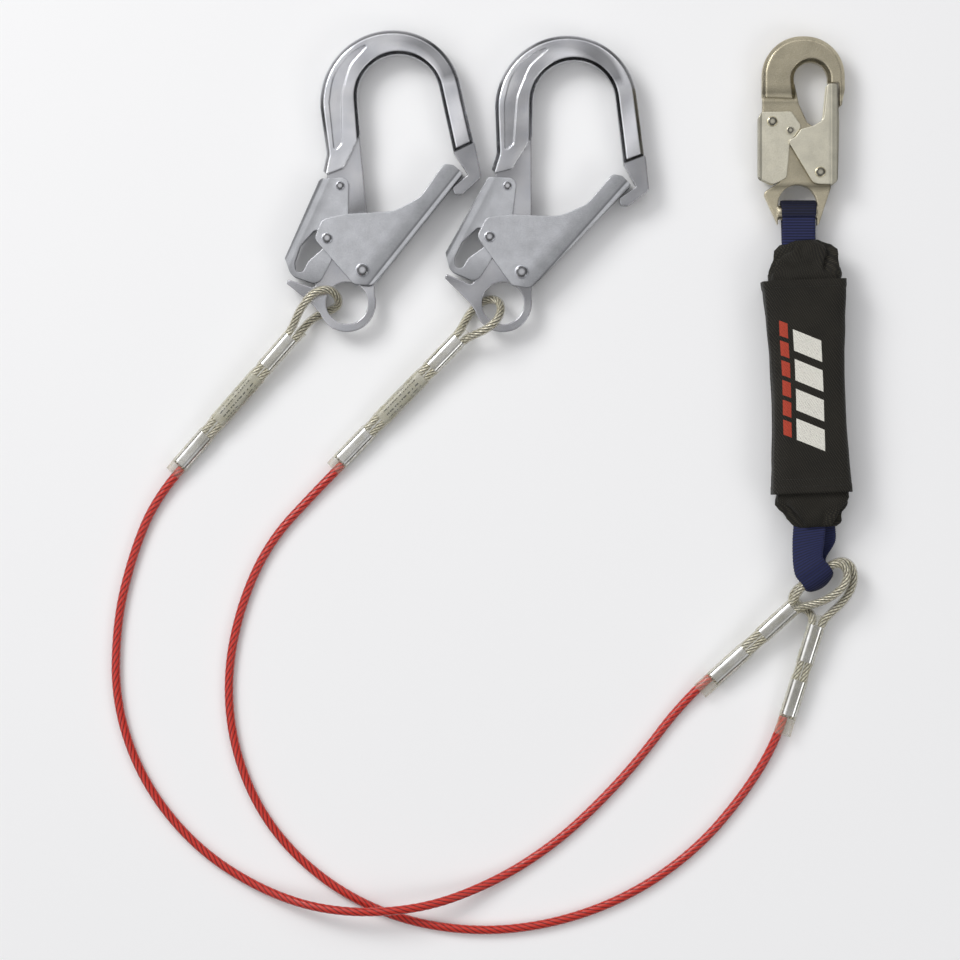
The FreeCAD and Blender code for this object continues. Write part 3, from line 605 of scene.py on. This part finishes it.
# The same route points as the CAD model, in millimetres: start and direction of each rope end,
# the side of the live strand, the eye's points, and where the jacket begins.
ENDS = {
    "left_hook": ((-210, -15, 14), (-297.8, -114.9, 5.8), 1, [
        (-206, 2, 20.8), (-195.5, 16, 24.2), (-184, 19.5, 23.8), (-177, 14.5, 20.6), (-175.4, 8.6, 13.2),
        (-179, 4.6, 6.4), (-187, 2.0, 4.0), (-197, -3.0, 5.0)], 133.5),
    "right_hook": ((-82.2, -16.6, 14), (-175.2, -111.8, 5.8), 1, [
        (-79.5, -4.5, 6.5), (-73, 5.5, 4.0), (-63.5, 12.0, 4.0), (-55.5, 11.6, 7.6), (-51.5, 6.0, 15.0),
        (-54.0, -3.5, 21.6), (-62, -11.0, 23.4), (-72, -15.5, 20.5)], 133.5),
    "left_pack": ((172, -221, 16.5), (108.7, -279.2, 6.8), -1, [
        (187, -220.5, 19.0), (200, -214.5, 20.8), (209, -206.5, 21.6), (211.5, -196.5, 21.6),
        (207, -189.6, 21.2), (199.5, -190.4, 20.9), (190, -196.9, 20.9), (180, -204.2, 20.9),
        (173.5, -211, 19.0)], 85.5),
    "right_pack": ((189, -234, 13), (163.7, -316.2, 6.4), -1, [
        (199, -227.5, 12.8), (210.5, -217, 13.0), (217, -204, 13.2), (216, -192.5, 13.2),
        (208.5, -187.0, 13.1), (199.5, -190.4, 13.1), (190, -196.9, 13.1), (180, -204.2, 13.1),
        (172.2, -209.8, 11.8), (169.3, -217.0, 6.2), (175.5, -223.2, 4.6), (183.0, -226.0, 9.0)], 77.0),
}
ROUTES = {
    "left": [
        (-315.7, -139.4, 4.0), (-334, -184, 3.5), (-346, -235, 3.5), (-347, -297, 3.5),
        (-326, -357, 3.5), (-285, -408, 3.5), (-231, -442, 4.5), (-176, -456, 17.6),
        (-112, -453, 17.6), (-56, -433, 4.5), (-12, -405, 3.5), (22, -374, 3.5), (54, -339, 3.5),
        (85.5, -296.8, 3.8)],
    "right": [
        (-194.3, -135.4, 4.0), (-229, -173, 3.5), (-251, -221, 3.5), (-262, -277, 3.5),
        (-256, -335, 3.5), (-231, -390, 3.5), (-187, -434, 3.5), (-132, -462, 3.5), (-70, -472, 3.5),
        (-9, -465, 3.5), (49, -443, 3.5), (98, -408, 3.5), (133, -367, 3.5), (157.2, -327.8, 5.2)],
}

# Clear sleeves, shrunk over what they hold: (distance from the eye, half width, half height).
HOOK_SLEEVE = [
    (-6, 7.5, 5.0), (-2, 7.1, 4.9), (2, 6.75, 4.85), (34, 6.75, 4.85), (37, 6.15, 4.1), (40, 6.3, 4.3),
    (43, 6.8, 4.9), (88, 6.8, 4.9), (92, 6.3, 4.3), (96, 5.95, 3.6), (99, 6.1, 4.0), (102, 6.7, 4.8),
    (132, 6.7, 4.85), (136, 6.35, 4.7), (141, 6.3, 4.7)]
PACK_SLEEVES = {
    "left_pack": [
        (-5, 7.4, 5.0), (-1, 7.0, 4.9), (2, 6.75, 4.85), (34, 6.75, 4.85), (38, 6.1, 4.0), (43, 5.95, 3.7),
        (48, 6.1, 4.0), (52, 6.75, 4.85), (84, 6.75, 4.85), (88, 6.6, 4.8), (98.5, 6.75, 5.0)],
    "right_pack": [
        (-5, 7.4, 5.0), (-1, 7.0, 4.9), (2, 6.75, 4.85), (32, 6.75, 4.85), (36, 6.1, 4.0), (39.5, 5.95, 3.7),
        (43, 6.1, 4.0), (47, 6.75, 4.85), (75, 6.75, 4.85), (79, 6.6, 4.8), (90.5, 6.75, 5.0)],
}
SLEEVE_WALL = 0.45


def end_frame(name):
    """Start, axis, side and up of a rope end, as in the CAD model."""
    start, far = ENDS[name][:2]
    start = mm(*start)
    axis = (mm(*far) - start).normalized()
    side = Vector((0, 0, 1)).cross(axis).normalized()
    return start, axis, side, axis.cross(side)


def eye_points(name):
    """Control points of one eye, with a point on each straight run to hold it straight."""
    start, axis, side, _ = end_frame(name)
    live_side, through, rope_to = ENDS[name][2:]
    half = side * (live_side * STRAND_GAP / 2 * MM)
    dead = start - half
    live = start + half
    end = axis * (rope_to * MM)
    eye = [mm(*point) for point in through]
    hold = axis * STRAIGHT_RUN
    return [dead + end, dead + hold, dead, *eye, live, live + hold, live + end]


def strand_line(line, lengths, frames, radius, phase, lay):
    out = []
    for point, along, (_, side, up) in zip(line, lengths, frames):
        angle = phase + 2 * math.pi * along / lay
        out.append(point + (side * math.cos(angle) + up * math.sin(angle)) * radius)
    return out


def rope(name, line):
    """Six strands laid round a core strand; v of the UVs is 1 outside the rope and 0 at its core."""
    lengths = line_lengths(line)
    frames = line_frames(line)
    vertices, faces, uvs = [], [], []
    for k in range(STRANDS + 1):
        radius = STRAND_ORBIT if k < STRANDS else 0.0
        path = strand_line(line, lengths, frames, radius, 2 * math.pi * k / STRANDS, ROPE_LAY)
        rings, more = tube_rings(path, STRAND_R, 12)
        for ring, centre, middle in zip(rings, path, line):
            # v says how far a point faces out of the rope; the strand material paints shade where it faces
            # in.
            away = (centre - middle).normalized() if radius else Vector((0, 0, 1))
            for j, point in enumerate(ring):
                facing = (point - centre).normalized().dot(away) if radius else -1.0
                uvs.append((more[len(uvs) % len(more)][0], 0.5 + 0.5 * facing))
        append_tube(vertices, faces, rings)
    return add_piece(name, vertices, faces, STRAND, uvs)


def sleeve_section(angle, width, height):
    """Flattened oval that a sleeve takes round two ropes side by side."""
    c, s = math.cos(angle), math.sin(angle)
    return width * math.copysign(abs(c) ** 0.8, c), height * math.copysign(abs(s) ** 0.9, s)


def sleeve(name, stations, end):
    """Clear heat-shrunk tube with a wall, drawn in between the ferrules."""
    start, axis, side, up = end_frame(end)
    sides = 36
    fine = []
    for (a, wa, ha), (b, wb, hb) in zip(stations, stations[1:]):
        steps = max(2, int((b - a) / 1.5))
        for i in range(steps):
            t = i / steps
            s = t * t * (3 - 2 * t)
            fine.append((a + (b - a) * t, wa + (wb - wa) * s, ha + (hb - ha) * s))
    fine.append(stations[-1])

    def rings(wall):
        out = []
        for at, width, height in fine:
            ring = []
            for k in range(sides):
                angle = 2 * math.pi * k / sides
                ripple = 1 + 0.012 * math.sin(at * 0.9 + 3 * angle)
                x, y = sleeve_section(angle, width - wall, height - wall)
                ring.append(start + (axis * at + side * (x * ripple) + up * (y * ripple)) * MM)
            out.append(ring)
        return out

    vertices, faces = walled(rings(0.0), rings(SLEEVE_WALL))
    uvs = [(at * MM, k / sides) for at, _, _ in fine + fine[::-1] for k in range(sides)]
    return add_piece(name, vertices, faces, CLEAR_SLEEVE, uvs)


LABEL_HALF_WIDTH = 6.2
LABEL_HALF_HEIGHT = 4.3
LABEL_SPAN = (42.5, 88.5)


def label_wrap(name, end, low, high):
    """Printed film round the middle of the sleeve, just inside it."""
    start, axis, side, up = end_frame(end)
    sides = 32
    rings, uvs = [], []
    for i in range(25):
        at = low + (high - low) * i / 24
        ring = []
        for k in range(sides):
            angle = 2 * math.pi * k / sides
            x, y = sleeve_section(angle, LABEL_HALF_WIDTH, LABEL_HALF_HEIGHT)
            ring.append(start + (axis * at + side * x + up * y) * MM)
            uvs.append(((at - low) * MM, k / sides))
        rings.append(ring)
    vertices, faces = bridge(rings, capped=False)
    piece = add_piece(name, vertices, faces, LABEL, uvs)
    wall = piece.modifiers.new("wall", "SOLIDIFY")
    wall.thickness = 0.3 * MM
    return piece


def covered(line):
    """Where the two runs of an eye are far enough apart for their tubes."""
    lengths = line_lengths(line)
    total = lengths[-1]
    count = len(line)
    first = 0
    for i in range(count // 2):
        mirrored = min(range(count), key=lambda j: abs(lengths[j] - (total - lengths[i])))
        if (line[i] - line[mirrored]).length > COVER_CLEARANCE:
            first = i
            break
    last = min(range(count), key=lambda j: abs(lengths[j] - (total - lengths[first])))
    return line[first:last + 1]


def build_end(name):
    side = name.split("_")[0]
    line = nurbs_line(name + "_line", eye_points(name), 26)
    lay = rope(name + "_rope_lay", line)
    cover = hollow_tube(name + "_clear_cover", covered(line), COVER_OUTER, COVER_INNER, 20, CLEAR_TUBE)
    stations = PACK_SLEEVES.get(name, HOOK_SLEEVE)
    shrink = sleeve(name + "_shrink_sleeve", stations, name)
    others = [cover, shrink, NODES[name + "_ferrules"]]
    if "hook" in name:
        label = label_wrap(name + "_print", name, *LABEL_SPAN)
        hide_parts(name + "_label")
        others.append(label)
    for piece in [lay, cover, shrink] + others[3:]:
        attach(piece, "pack")
    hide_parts(name + "_eye_rope")
    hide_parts(name + "_eye_tube")
    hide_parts(name + "_clear_sleeve")
    return line[-1]


def build_cable(side, first, last):
    points = [first] + [mm(*point) for point in ROUTES[side]] + [last]
    line = nurbs_line(side + "_cable_line", points, 36)

    def lobed(along, angle):
        return (CABLE_R + CABLE_LOBE * math.cos(STRANDS * (angle - 2 * math.pi * along / CABLE_LAY))) * MM

    rings, uvs = tube_rings(line, lobed, 30)
    vertices, faces = bridge(rings)
    cable = add_piece(side + "_red_cable", vertices, faces, RED, uvs)
    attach(cable, "pack")
    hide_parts(side + "_cable_jacket", side + "_cable_core")


for side in ("left", "right"):
    hook_end = build_end(side + "_hook")
    pack_end = build_end(side + "_pack")
    build_cable(side, hook_end, pack_end)

# ------------------------------------------------------------------ webbing loops

def ribbon(name, stations, thick, material):
    """Ribbed webbing along stations (centre, direction across, width, curl of the edges)."""
    count = len(stations)

    def at(index):
        return stations[max(0, min(count - 1, index))]

    def curve(a, b, c, d, t):
        return 0.5 * ((2 * b) + (c - a) * t + (2 * a - 5 * b + 4 * c - d) * t * t
                      + (3 * b - a - 3 * c + d) * t ** 3)

    fine = []
    for i in range(count - 1):
        near = [at(i + step) for step in (-1, 0, 1, 2)]
        steps = max(2, round((near[2][0] - near[1][0]).length / (0.42 * MM)))
        for k in range(steps):
            centre, wide, width, curl = [curve(*values, k / steps) for values in zip(*near)]
            fine.append((centre, wide.normalized(), width, curl))
    fine.append(stations[-1])
    centres = [entry[0] for entry in fine]
    lengths = line_lengths(centres)
    last = len(fine) - 1
    across_steps = 20
    rings, uvs = [], []
    for i, (centre, wide, width, curl) in enumerate(fine):
        tangent = centres[min(i + 1, last)] - centres[max(i - 1, 0)]
        tangent = (tangent - wide * tangent.dot(wide)).normalized()
        normal = tangent.cross(wide).normalized()
        rib = 0.5 + 0.5 * math.cos(2 * math.pi * lengths[i] / RIB_PITCH)
        half = (thick / 2 - 0.28 * MM) + 0.30 * MM * rib
        edge = width / 2 - 0.25 * MM * (1 - rib)
        ring = []
        for face in (1, -1):
            for k in range(across_steps + 1):
                t = -1 + 2 * k / across_steps
                taper = math.sqrt(max(0.0, 1 - abs(t) ** 14))
                lift = face * half * max(taper, 0.22) - curl * t * t
                ring.append(centre + wide * (edge * face * t) + normal * lift)
                uvs.append((lengths[i], edge * face * t))
        rings.append(ring)
    vertices, faces = bridge(rings)
    return add_piece(name, vertices, faces, material, uvs)


def bar_stations(centre_y, radius, lead_in, lead_out, widths):
    """Webbing along lead_in, half a turn round the snap hook's bar, and back along lead_out."""
    plain, flared = [value * MM for value in widths]
    out = [(mm(TOP_X, y, z), ACROSS_X, plain, 0.0) for y, z in lead_in]
    for step in range(13):
        angle = math.radians(90 - 15 * step)
        place = mm(TOP_X, centre_y + radius * math.cos(angle), BAR_Z + radius * math.sin(angle))
        out.append((place, ACROSS_X, plain + (flared - plain) * math.cos(angle), 0.0))
    return out + [(mm(TOP_X, y, z), ACROSS_X, plain, 0.0) for y, z in lead_out]


TOP_X = 174.3
BAR_Y, BAR_Z = 77.5, 12.5
ACROSS_X = Vector((1, 0, 0))
top_loop = ribbon("top_webbing_ribbed", bar_stations(
    BAR_Y, 6.9, [(30, 19.0), (44, 19.2), (58, 19.35), (70, 19.4)],
    [(69, 5.8), (58, 9.0), (50, 14.2), (40, 15.9), (30, 16.0)], (25.4, 26.6)), 2.3 * MM, NAVY)
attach(top_loop, "pack")
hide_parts("top_webbing_loop")
wear_pad = ribbon("wear_pad_ribbed", bar_stations(
    BAR_Y, 8.8, [(74.5, 21.3), (76.5, 21.3)], [(76.5, 3.7), (74.5, 3.7)],
    (26.6, 27.6)), 1.5 * MM, NAVY_DARK)
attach(wear_pad, "pack")
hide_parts("bar_wear_pad")

FOLD_CENTRE = Vector((186.1, -197.7, 17.0))
FOLD_RADIUS = 11.0
FOLD_ANGLE = 35
WEBBING = 25.4 * MM


def across(angle):
    return Vector((math.cos(math.radians(angle)), math.sin(math.radians(angle)), 0))


fold_down = across(FOLD_ANGLE - 90)
fold_up = Vector((0, 0, FOLD_RADIUS))
bottom_stations = [
    (mm(184.6, -146, 18.9), across(2), WEBBING, 0.0),
    (mm(182.6, -160, 19.4), across(5), WEBBING, 0.0),
    (mm(181.2, -175, 23.0), across(14), WEBBING, 0.6 * MM),
    ((FOLD_CENTRE - fold_down * 9 + fold_up) * MM, across(32), WEBBING, 1.0 * MM),
]
for step in range(9):
    angle = math.radians(90 - 22.5 * step)
    swing = fold_down * (FOLD_RADIUS * math.cos(angle)) + fold_up * math.sin(angle)
    narrow = WEBBING - 2.2 * MM * math.cos(angle) ** 4
    curl = (1.0 + 2.5 * math.cos(angle) ** 4) * MM
    bottom_stations.append(((FOLD_CENTRE + swing) * MM, across(FOLD_ANGLE), narrow, curl))
bottom_stations += [
    (mm(185.4, -190.4, 6.2), across(30), WEBBING, 1.0 * MM),
    (mm(190.6, -176, 10.2), across(17), WEBBING, 0.6 * MM),
    (mm(189.4, -160, 14.4), across(6), WEBBING, 0.0),
    (mm(187.0, -146, 15.5), across(2), WEBBING, 0.0),
]
bottom_loop = ribbon("bottom_webbing_ribbed", bottom_stations, 2.3 * MM, NAVY)
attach(bottom_loop, "pack")
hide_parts("bottom_webbing_loop")

# ------------------------------------------------------------------ absorber pack

PACK = Matrix.Translation(mm(181.7, -55.2, 17.0)) @ Matrix.Rotation(math.radians(2.2), 4, "Z")


def superellipse(angle, width, height, power):
    c, s = math.cos(angle), math.sin(angle)
    x = width / 2 * math.copysign(abs(c) ** (2 / power), c)
    z = height / 2 * math.copysign(abs(s) ** (2 / power), s)
    return x, z


def smooth_table(table, y):
    """Value of a table of (y, ...) rows at y, eased between rows."""
    if y <= table[0][0]:
        return table[0][1:]
    for low, high in zip(table, table[1:]):
        if y <= high[0]:
            t = (y - low[0]) / (high[0] - low[0])
            t = t * t * (3 - 2 * t)
            return [a + (b - a) * t for a, b in zip(low[1:], high[1:])]
    return table[-1][1:]


# y, width, height, corner power, depth of the gathers, sideways shift
BAG = [
    (-107, 28, 12.0, 2.4, 1.2, 1.6), (-104.5, 33.5, 15, 2.5, 1.8, 0.8), (-102, 38, 17.5, 2.6, 2.0, 0.0),
    (-98.5, 41, 20, 2.8, 2.0, -0.5), (-95, 43, 22, 3.0, 1.8, -0.5), (-92.5, 47.5, 23.5, 3.0, 1.5, -0.5),
    (-89, 54, 25.5, 3.2, 1.0, -0.8), (-85, 57, 26.5, 3.6, 0.4, -0.5), (-79, 55, 27, 4.0, 0.0, 0.0),
    (79, 55, 27, 4.0, 0.0, 0.0), (85.4, 54.5, 26.5, 3.4, 0.4, 0.7), (88, 50, 25.5, 3.0, 1.2, 1.2),
    (92.5, 47.5, 25, 2.9, 1.7, 2.0), (99.6, 43.5, 23, 2.8, 2.0, 2.6), (103, 41, 21, 2.6, 2.0, 3.0),
    (107, 35.5, 17.5, 2.5, 1.8, 3.4), (110, 26, 13.5, 2.4, 1.2, 2.4), (111.5, 19, 11, 2.3, 0.8, 1.6)]


def bag_surface():
    """Closed bag, its ends gathered round the webbing."""
    sides, rings, uvs = 96, [], []
    steps = 110
    for i in range(steps + 1):
        y = BAG[0][0] + (BAG[-1][0] - BAG[0][0]) * i / steps
        width, height, power, gather, shift = smooth_table(BAG, y)
        ring = []
        for k in range(sides):
            angle = 2 * math.pi * k / sides
            x, z = superellipse(angle, width, height, power)
            lump = noise.noise(Vector((x * 0.09, y * 0.07, z * 0.09 + 5)))
            drift = noise.noise(Vector((y * 0.06, math.cos(angle) * 1.4, math.sin(angle) * 1.4)))
            pleat = math.sin(angle * 7 + y * 0.05 + 3.6 * drift) - 0.2
            grow = 1 + (pleat * gather * 1.35 + lump * gather * 2.0) / 16
            ring.append(PACK @ mm(x * grow + shift, y + lump * gather * 0.8, z * grow))
            uvs.append(((x + 0.6 * z) * MM, y * MM))
        rings.append(ring)
    vertices, faces = bridge(rings)
    return add_piece("pack_bag", vertices, faces, NYLON, uvs)


# y, width, height, corner power, sideways shift
WRAP = [
    (-81, 57.6, 31.0, 5.0, -0.8), (-75, 57.2, 31.2, 5.0, -0.8), (-57, 55.4, 31.4, 4.6, -0.6),
    (-31, 53.8, 31.6, 4.4, -0.4), (-5, 53.2, 31.6, 4.4, -0.2), (22, 54.2, 31.6, 4.4, -0.2),
    (48, 57.2, 31.4, 4.6, -0.5), (72, 60.2, 31.2, 5.0, -0.8), (81, 61.0, 31.0, 5.2, -1.0)]
WRAP_SIDES = 128


def wrap_surface():
    """Open wrap of heavy nylon, hemmed at both ends."""
    sides, steps = WRAP_SIDES, 92
    rings, uvs = [], []
    low, high = WRAP[0][0], WRAP[-1][0]
    for i in range(steps + 1):
        y = low + (high - low) * i / steps
        width, height, power, shift = smooth_table(WRAP, y)
        hem = 0.35 if min(y - low, high - y) < 6.5 else 0.0
        ring = []
        for k in range(sides):
            angle = 2 * math.pi * k / sides
            x, z = superellipse(angle, width, height, power)
            soft = noise.noise(Vector((x * 0.045 + 7, y * 0.022, z * 0.05)))
            crease = noise.noise(Vector((x * 0.16, y * 0.03 + 9, z * 0.1)))
            out = max(soft * 1.0 + crease * 0.35, -0.4) + hem
            scale = 1 + out / 26
            ring.append(PACK @ mm(x * scale + shift, y, z * scale * (1 if z > 0 else 0.98)))
            uvs.append((x * MM, y * MM))
        rings.append(ring)
    vertices, faces = bridge(rings, capped=False)
    return add_piece("pack_wrap_cloth", vertices, faces, NYLON_PRINTED, uvs)


CLOTH_FRAMES = 20
CLOTH_PRESSURE = 4.0
CLOTH_REACH = 1.2 * MM
HEM_ROWS = 6


def puff(piece, pins):
    """Cloth simulation under light pressure; each point may move by at most CLOTH_REACH."""
    rest = [vertex.co.copy() for vertex in piece.data.vertices]
    cloth = piece.modifiers.new("cloth", "CLOTH")
    settings = cloth.settings
    settings.quality = 5
    settings.mass = 0.3
    settings.tension_stiffness = 30
    settings.compression_stiffness = 12
    settings.bending_stiffness = 0.8
    settings.use_pressure = True
    settings.uniform_pressure_force = CLOTH_PRESSURE
    settings.effector_weights.gravity = 0
    group = piece.vertex_groups.new(name="pins")
    group.add(pins, 1.0, "REPLACE")
    settings.vertex_group_mass = "pins"
    for number in range(1, CLOTH_FRAMES + 1):
        scene.frame_set(number)
    graph = bpy.context.evaluated_depsgraph_get()
    moved = [vertex.co.copy() for vertex in piece.evaluated_get(graph).data.vertices]
    piece.modifiers.remove(cloth)
    scene.frame_set(1)
    for vertex, was, now in zip(piece.data.vertices, rest, moved):
        step = now - was
        if step.length > CLOTH_REACH:
            step *= CLOTH_REACH / step.length
        vertex.co = was + step
    piece.data.update()


FLOOR_GAP = 0.4 * MM
# The wrap's upper face is held above the booklet, less so past the booklet's sides.
BOOKLET_TOP = 32.6
BOOKLET_HALF_WIDTH = 18.5 * MM
SHOULDER = 6 * MM
SHOULDER_FALL = 3.2

bag = bag_surface()
wrap = wrap_surface()
count = len(wrap.data.vertices)
hem = WRAP_SIDES * HEM_ROWS
puff(wrap, list(range(hem)) + list(range(count - hem, count)))
to_pack = PACK.inverted()
for vertex in wrap.data.vertices:
    place = to_pack @ vertex.co
    if place.z > 11 * MM:
        beyond = max(0.0, abs(place.x) - BOOKLET_HALF_WIDTH) / SHOULDER
        vertex.co.z = max(vertex.co.z, (BOOKLET_TOP - SHOULDER_FALL * beyond * beyond) * MM)
for piece in (bag, wrap):
    for vertex in piece.data.vertices:
        vertex.co.z = max(vertex.co.z, FLOOR_GAP)
    piece.data.update()
wall = wrap.modifiers.new("wall", "SOLIDIFY")
wall.thickness = 1.3 * MM
wall.offset = -1
for piece, node, slot in ((bag, "pack_sleeve", "black_fabric"), (wrap, "pack_wrap", "black_fabric")):
    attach(piece, "pack")
    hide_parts(node)


STITCH_ROW = 24.0
STITCH_LENGTH = 1.9
STITCH_PITCH = 2.9
STITCH_LIFT = 0.05


def stitches(name, y):
    """A row of thread stitches across the top of the wrap."""
    vertices, faces = [], []
    x = -STITCH_ROW
    while x < STITCH_ROW:
        line = []
        for k in range(5):
            px = x + STITCH_LENGTH * k / 4
            hit, point, normal, _ = wrap.ray_cast(PACK @ mm(px, y, 40), Vector((0, 0, -1)))
            if not hit:
                break
            line.append(point + normal * (STITCH_LIFT + 0.12 * math.sin(math.pi * k / 4)) * MM)
        if len(line) == 5:
            rings, _ = tube_rings(line, 0.16 * MM, 6)
            append_tube(vertices, faces, rings)
        x += STITCH_PITCH
    piece = add_piece(name, vertices, faces, THREAD)
    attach(piece, "pack")


THREAD = metal("thread", (0.05, 0.048, 0.042), (0.02, 0.02, 0.018), (0.6, 0.8), 2500.0, 0.00003)
THREAD.node_tree.nodes["Principled BSDF"].inputs["Metallic"].default_value = 0.0
bpy.context.view_layer.update()
for label, y in (("low_hem", -75.5), ("low_seam", -70.0), ("high_hem", 75.5)):
    stitches("stitch_" + label, y)

# ------------------------------------------------------------------ metal parts carried over

def paint(node, material):
    NODES[node].data.materials.clear()
    NODES[node].data.materials.append(material)


def finish_metal(node, material):
    """Flat faces stay flat, round ones smooth; the material rounds the edges between them."""
    paint(node, material)
    piece = NODES[node]
    piece.data.polygons.foreach_set("use_smooth", [True] * len(piece.data.polygons))
    weld = piece.modifiers.new("weld", "WELD")
    weld.merge_threshold = 0.002 * MM
    split = piece.modifiers.new("split", "EDGE_SPLIT")
    split.split_angle = math.radians(28)
    split.use_edge_sharp = False
    even = piece.modifiers.new("even", "WEIGHTED_NORMAL")
    even.mode = "FACE_AREA"
    even.weight = 100


for side in ("left", "right"):
    finish_metal(side + "_hook_body", ALUMINIUM)
    finish_metal(side + "_gate", GATE_STEEL)
    finish_metal(side + "_lock_lever", LEVER_STEEL)
    for label in ("gate_rivet", "lever_rivet", "lock_pin"):
        finish_metal("%s_%s" % (side, label), RIVET)
    for label in ("gate_spring", "lever_spring"):
        finish_metal("%s_%s" % (side, label), BRIGHT)
    for label in ("hook", "pack"):
        finish_metal("%s_%s_ferrules" % (side, label), FERRULE)
finish_metal("snap_hook_body", SNAP_FORGED)
finish_metal("snap_gate", SNAP_GATE_STEEL)
finish_metal("snap_lock_lever", SNAP_LEVER_STEEL)
for label in ("gate_rivet", "lever_rivet", "stop_pins"):
    finish_metal("snap_" + label, SNAP_RIVET)
for label in ("gate_spring", "lever_spring"):
    finish_metal("snap_" + label, BRIGHT)
for label in ("closure_hook_strip", "closure_loop_strip"):
    paint(label, NYLON)
for label in ("tear_webbing", "backup_webbing"):
    paint(label, THREAD)
paint("label_booklet", LABEL)

# ------------------------------------------------------------------ floor and light

FLOOR_REACH = 30
corners = [(x * FLOOR_REACH, y * FLOOR_REACH, 0) for x, y in ((-1, -1), (1, -1), (1, 1), (-1, 1))]
floor = add_piece("floor", corners, [(0, 1, 2, 3)], floor_material(), smooth=False)

world = bpy.data.worlds.new("studio")
world.use_nodes = True
scene.world = world
tree = world.node_tree
coord = tree.nodes.new("ShaderNodeTexCoord")
split = tree.nodes.new("ShaderNodeSeparateXYZ")
ramp = tree.nodes.new("ShaderNodeValToRGB")
tree.links.new(coord.outputs["Generated"], split.inputs[0])
tree.links.new(split.outputs[2], ramp.inputs[0])
marks = ramp.color_ramp.elements
SKY = ((0.0, 0.02), (0.34, 0.05), (0.58, 0.62), (0.76, 0.98), (0.92, 0.56), (1.0, 0.38))
while len(marks) < len(SKY):
    marks.new(0.5)
for mark, (position, value) in zip(marks, SKY):
    mark.position = position
    mark.color = (value, value, value * 1.02, 1)
# One side of the overhead softbox is brighter, so bent metal runs from pale to dark.
lean = tree.nodes.new("ShaderNodeMath")
lean.operation = "SUBTRACT"
tree.links.new(split.outputs[1], lean.inputs[0])
tree.links.new(split.outputs[0], lean.inputs[1])
side_gain = tree.nodes.new("ShaderNodeMapRange")
side_gain.interpolation_type = "SMOOTHSTEP"
for slot, value in ((1, -0.20), (2, 0.20), (3, 0.58), (4, 1.60)):
    side_gain.inputs[slot].default_value = value
tree.links.new(lean.outputs[0], side_gain.inputs[0])
tree.links.new(ramp.outputs[0], tree.nodes["Background"].inputs[0])
tree.links.new(side_gain.outputs[0], tree.nodes["Background"].inputs[1])

area_light("key", (-1.7, 1.5, 2.0), VIEW_CENTRE, (1.2, 1.2), 36)
area_light("fill", (1.7, -1.2, 1.8), VIEW_CENTRE, (1.4, 1.0), 8)

scene.view_settings.view_transform = "Standard"
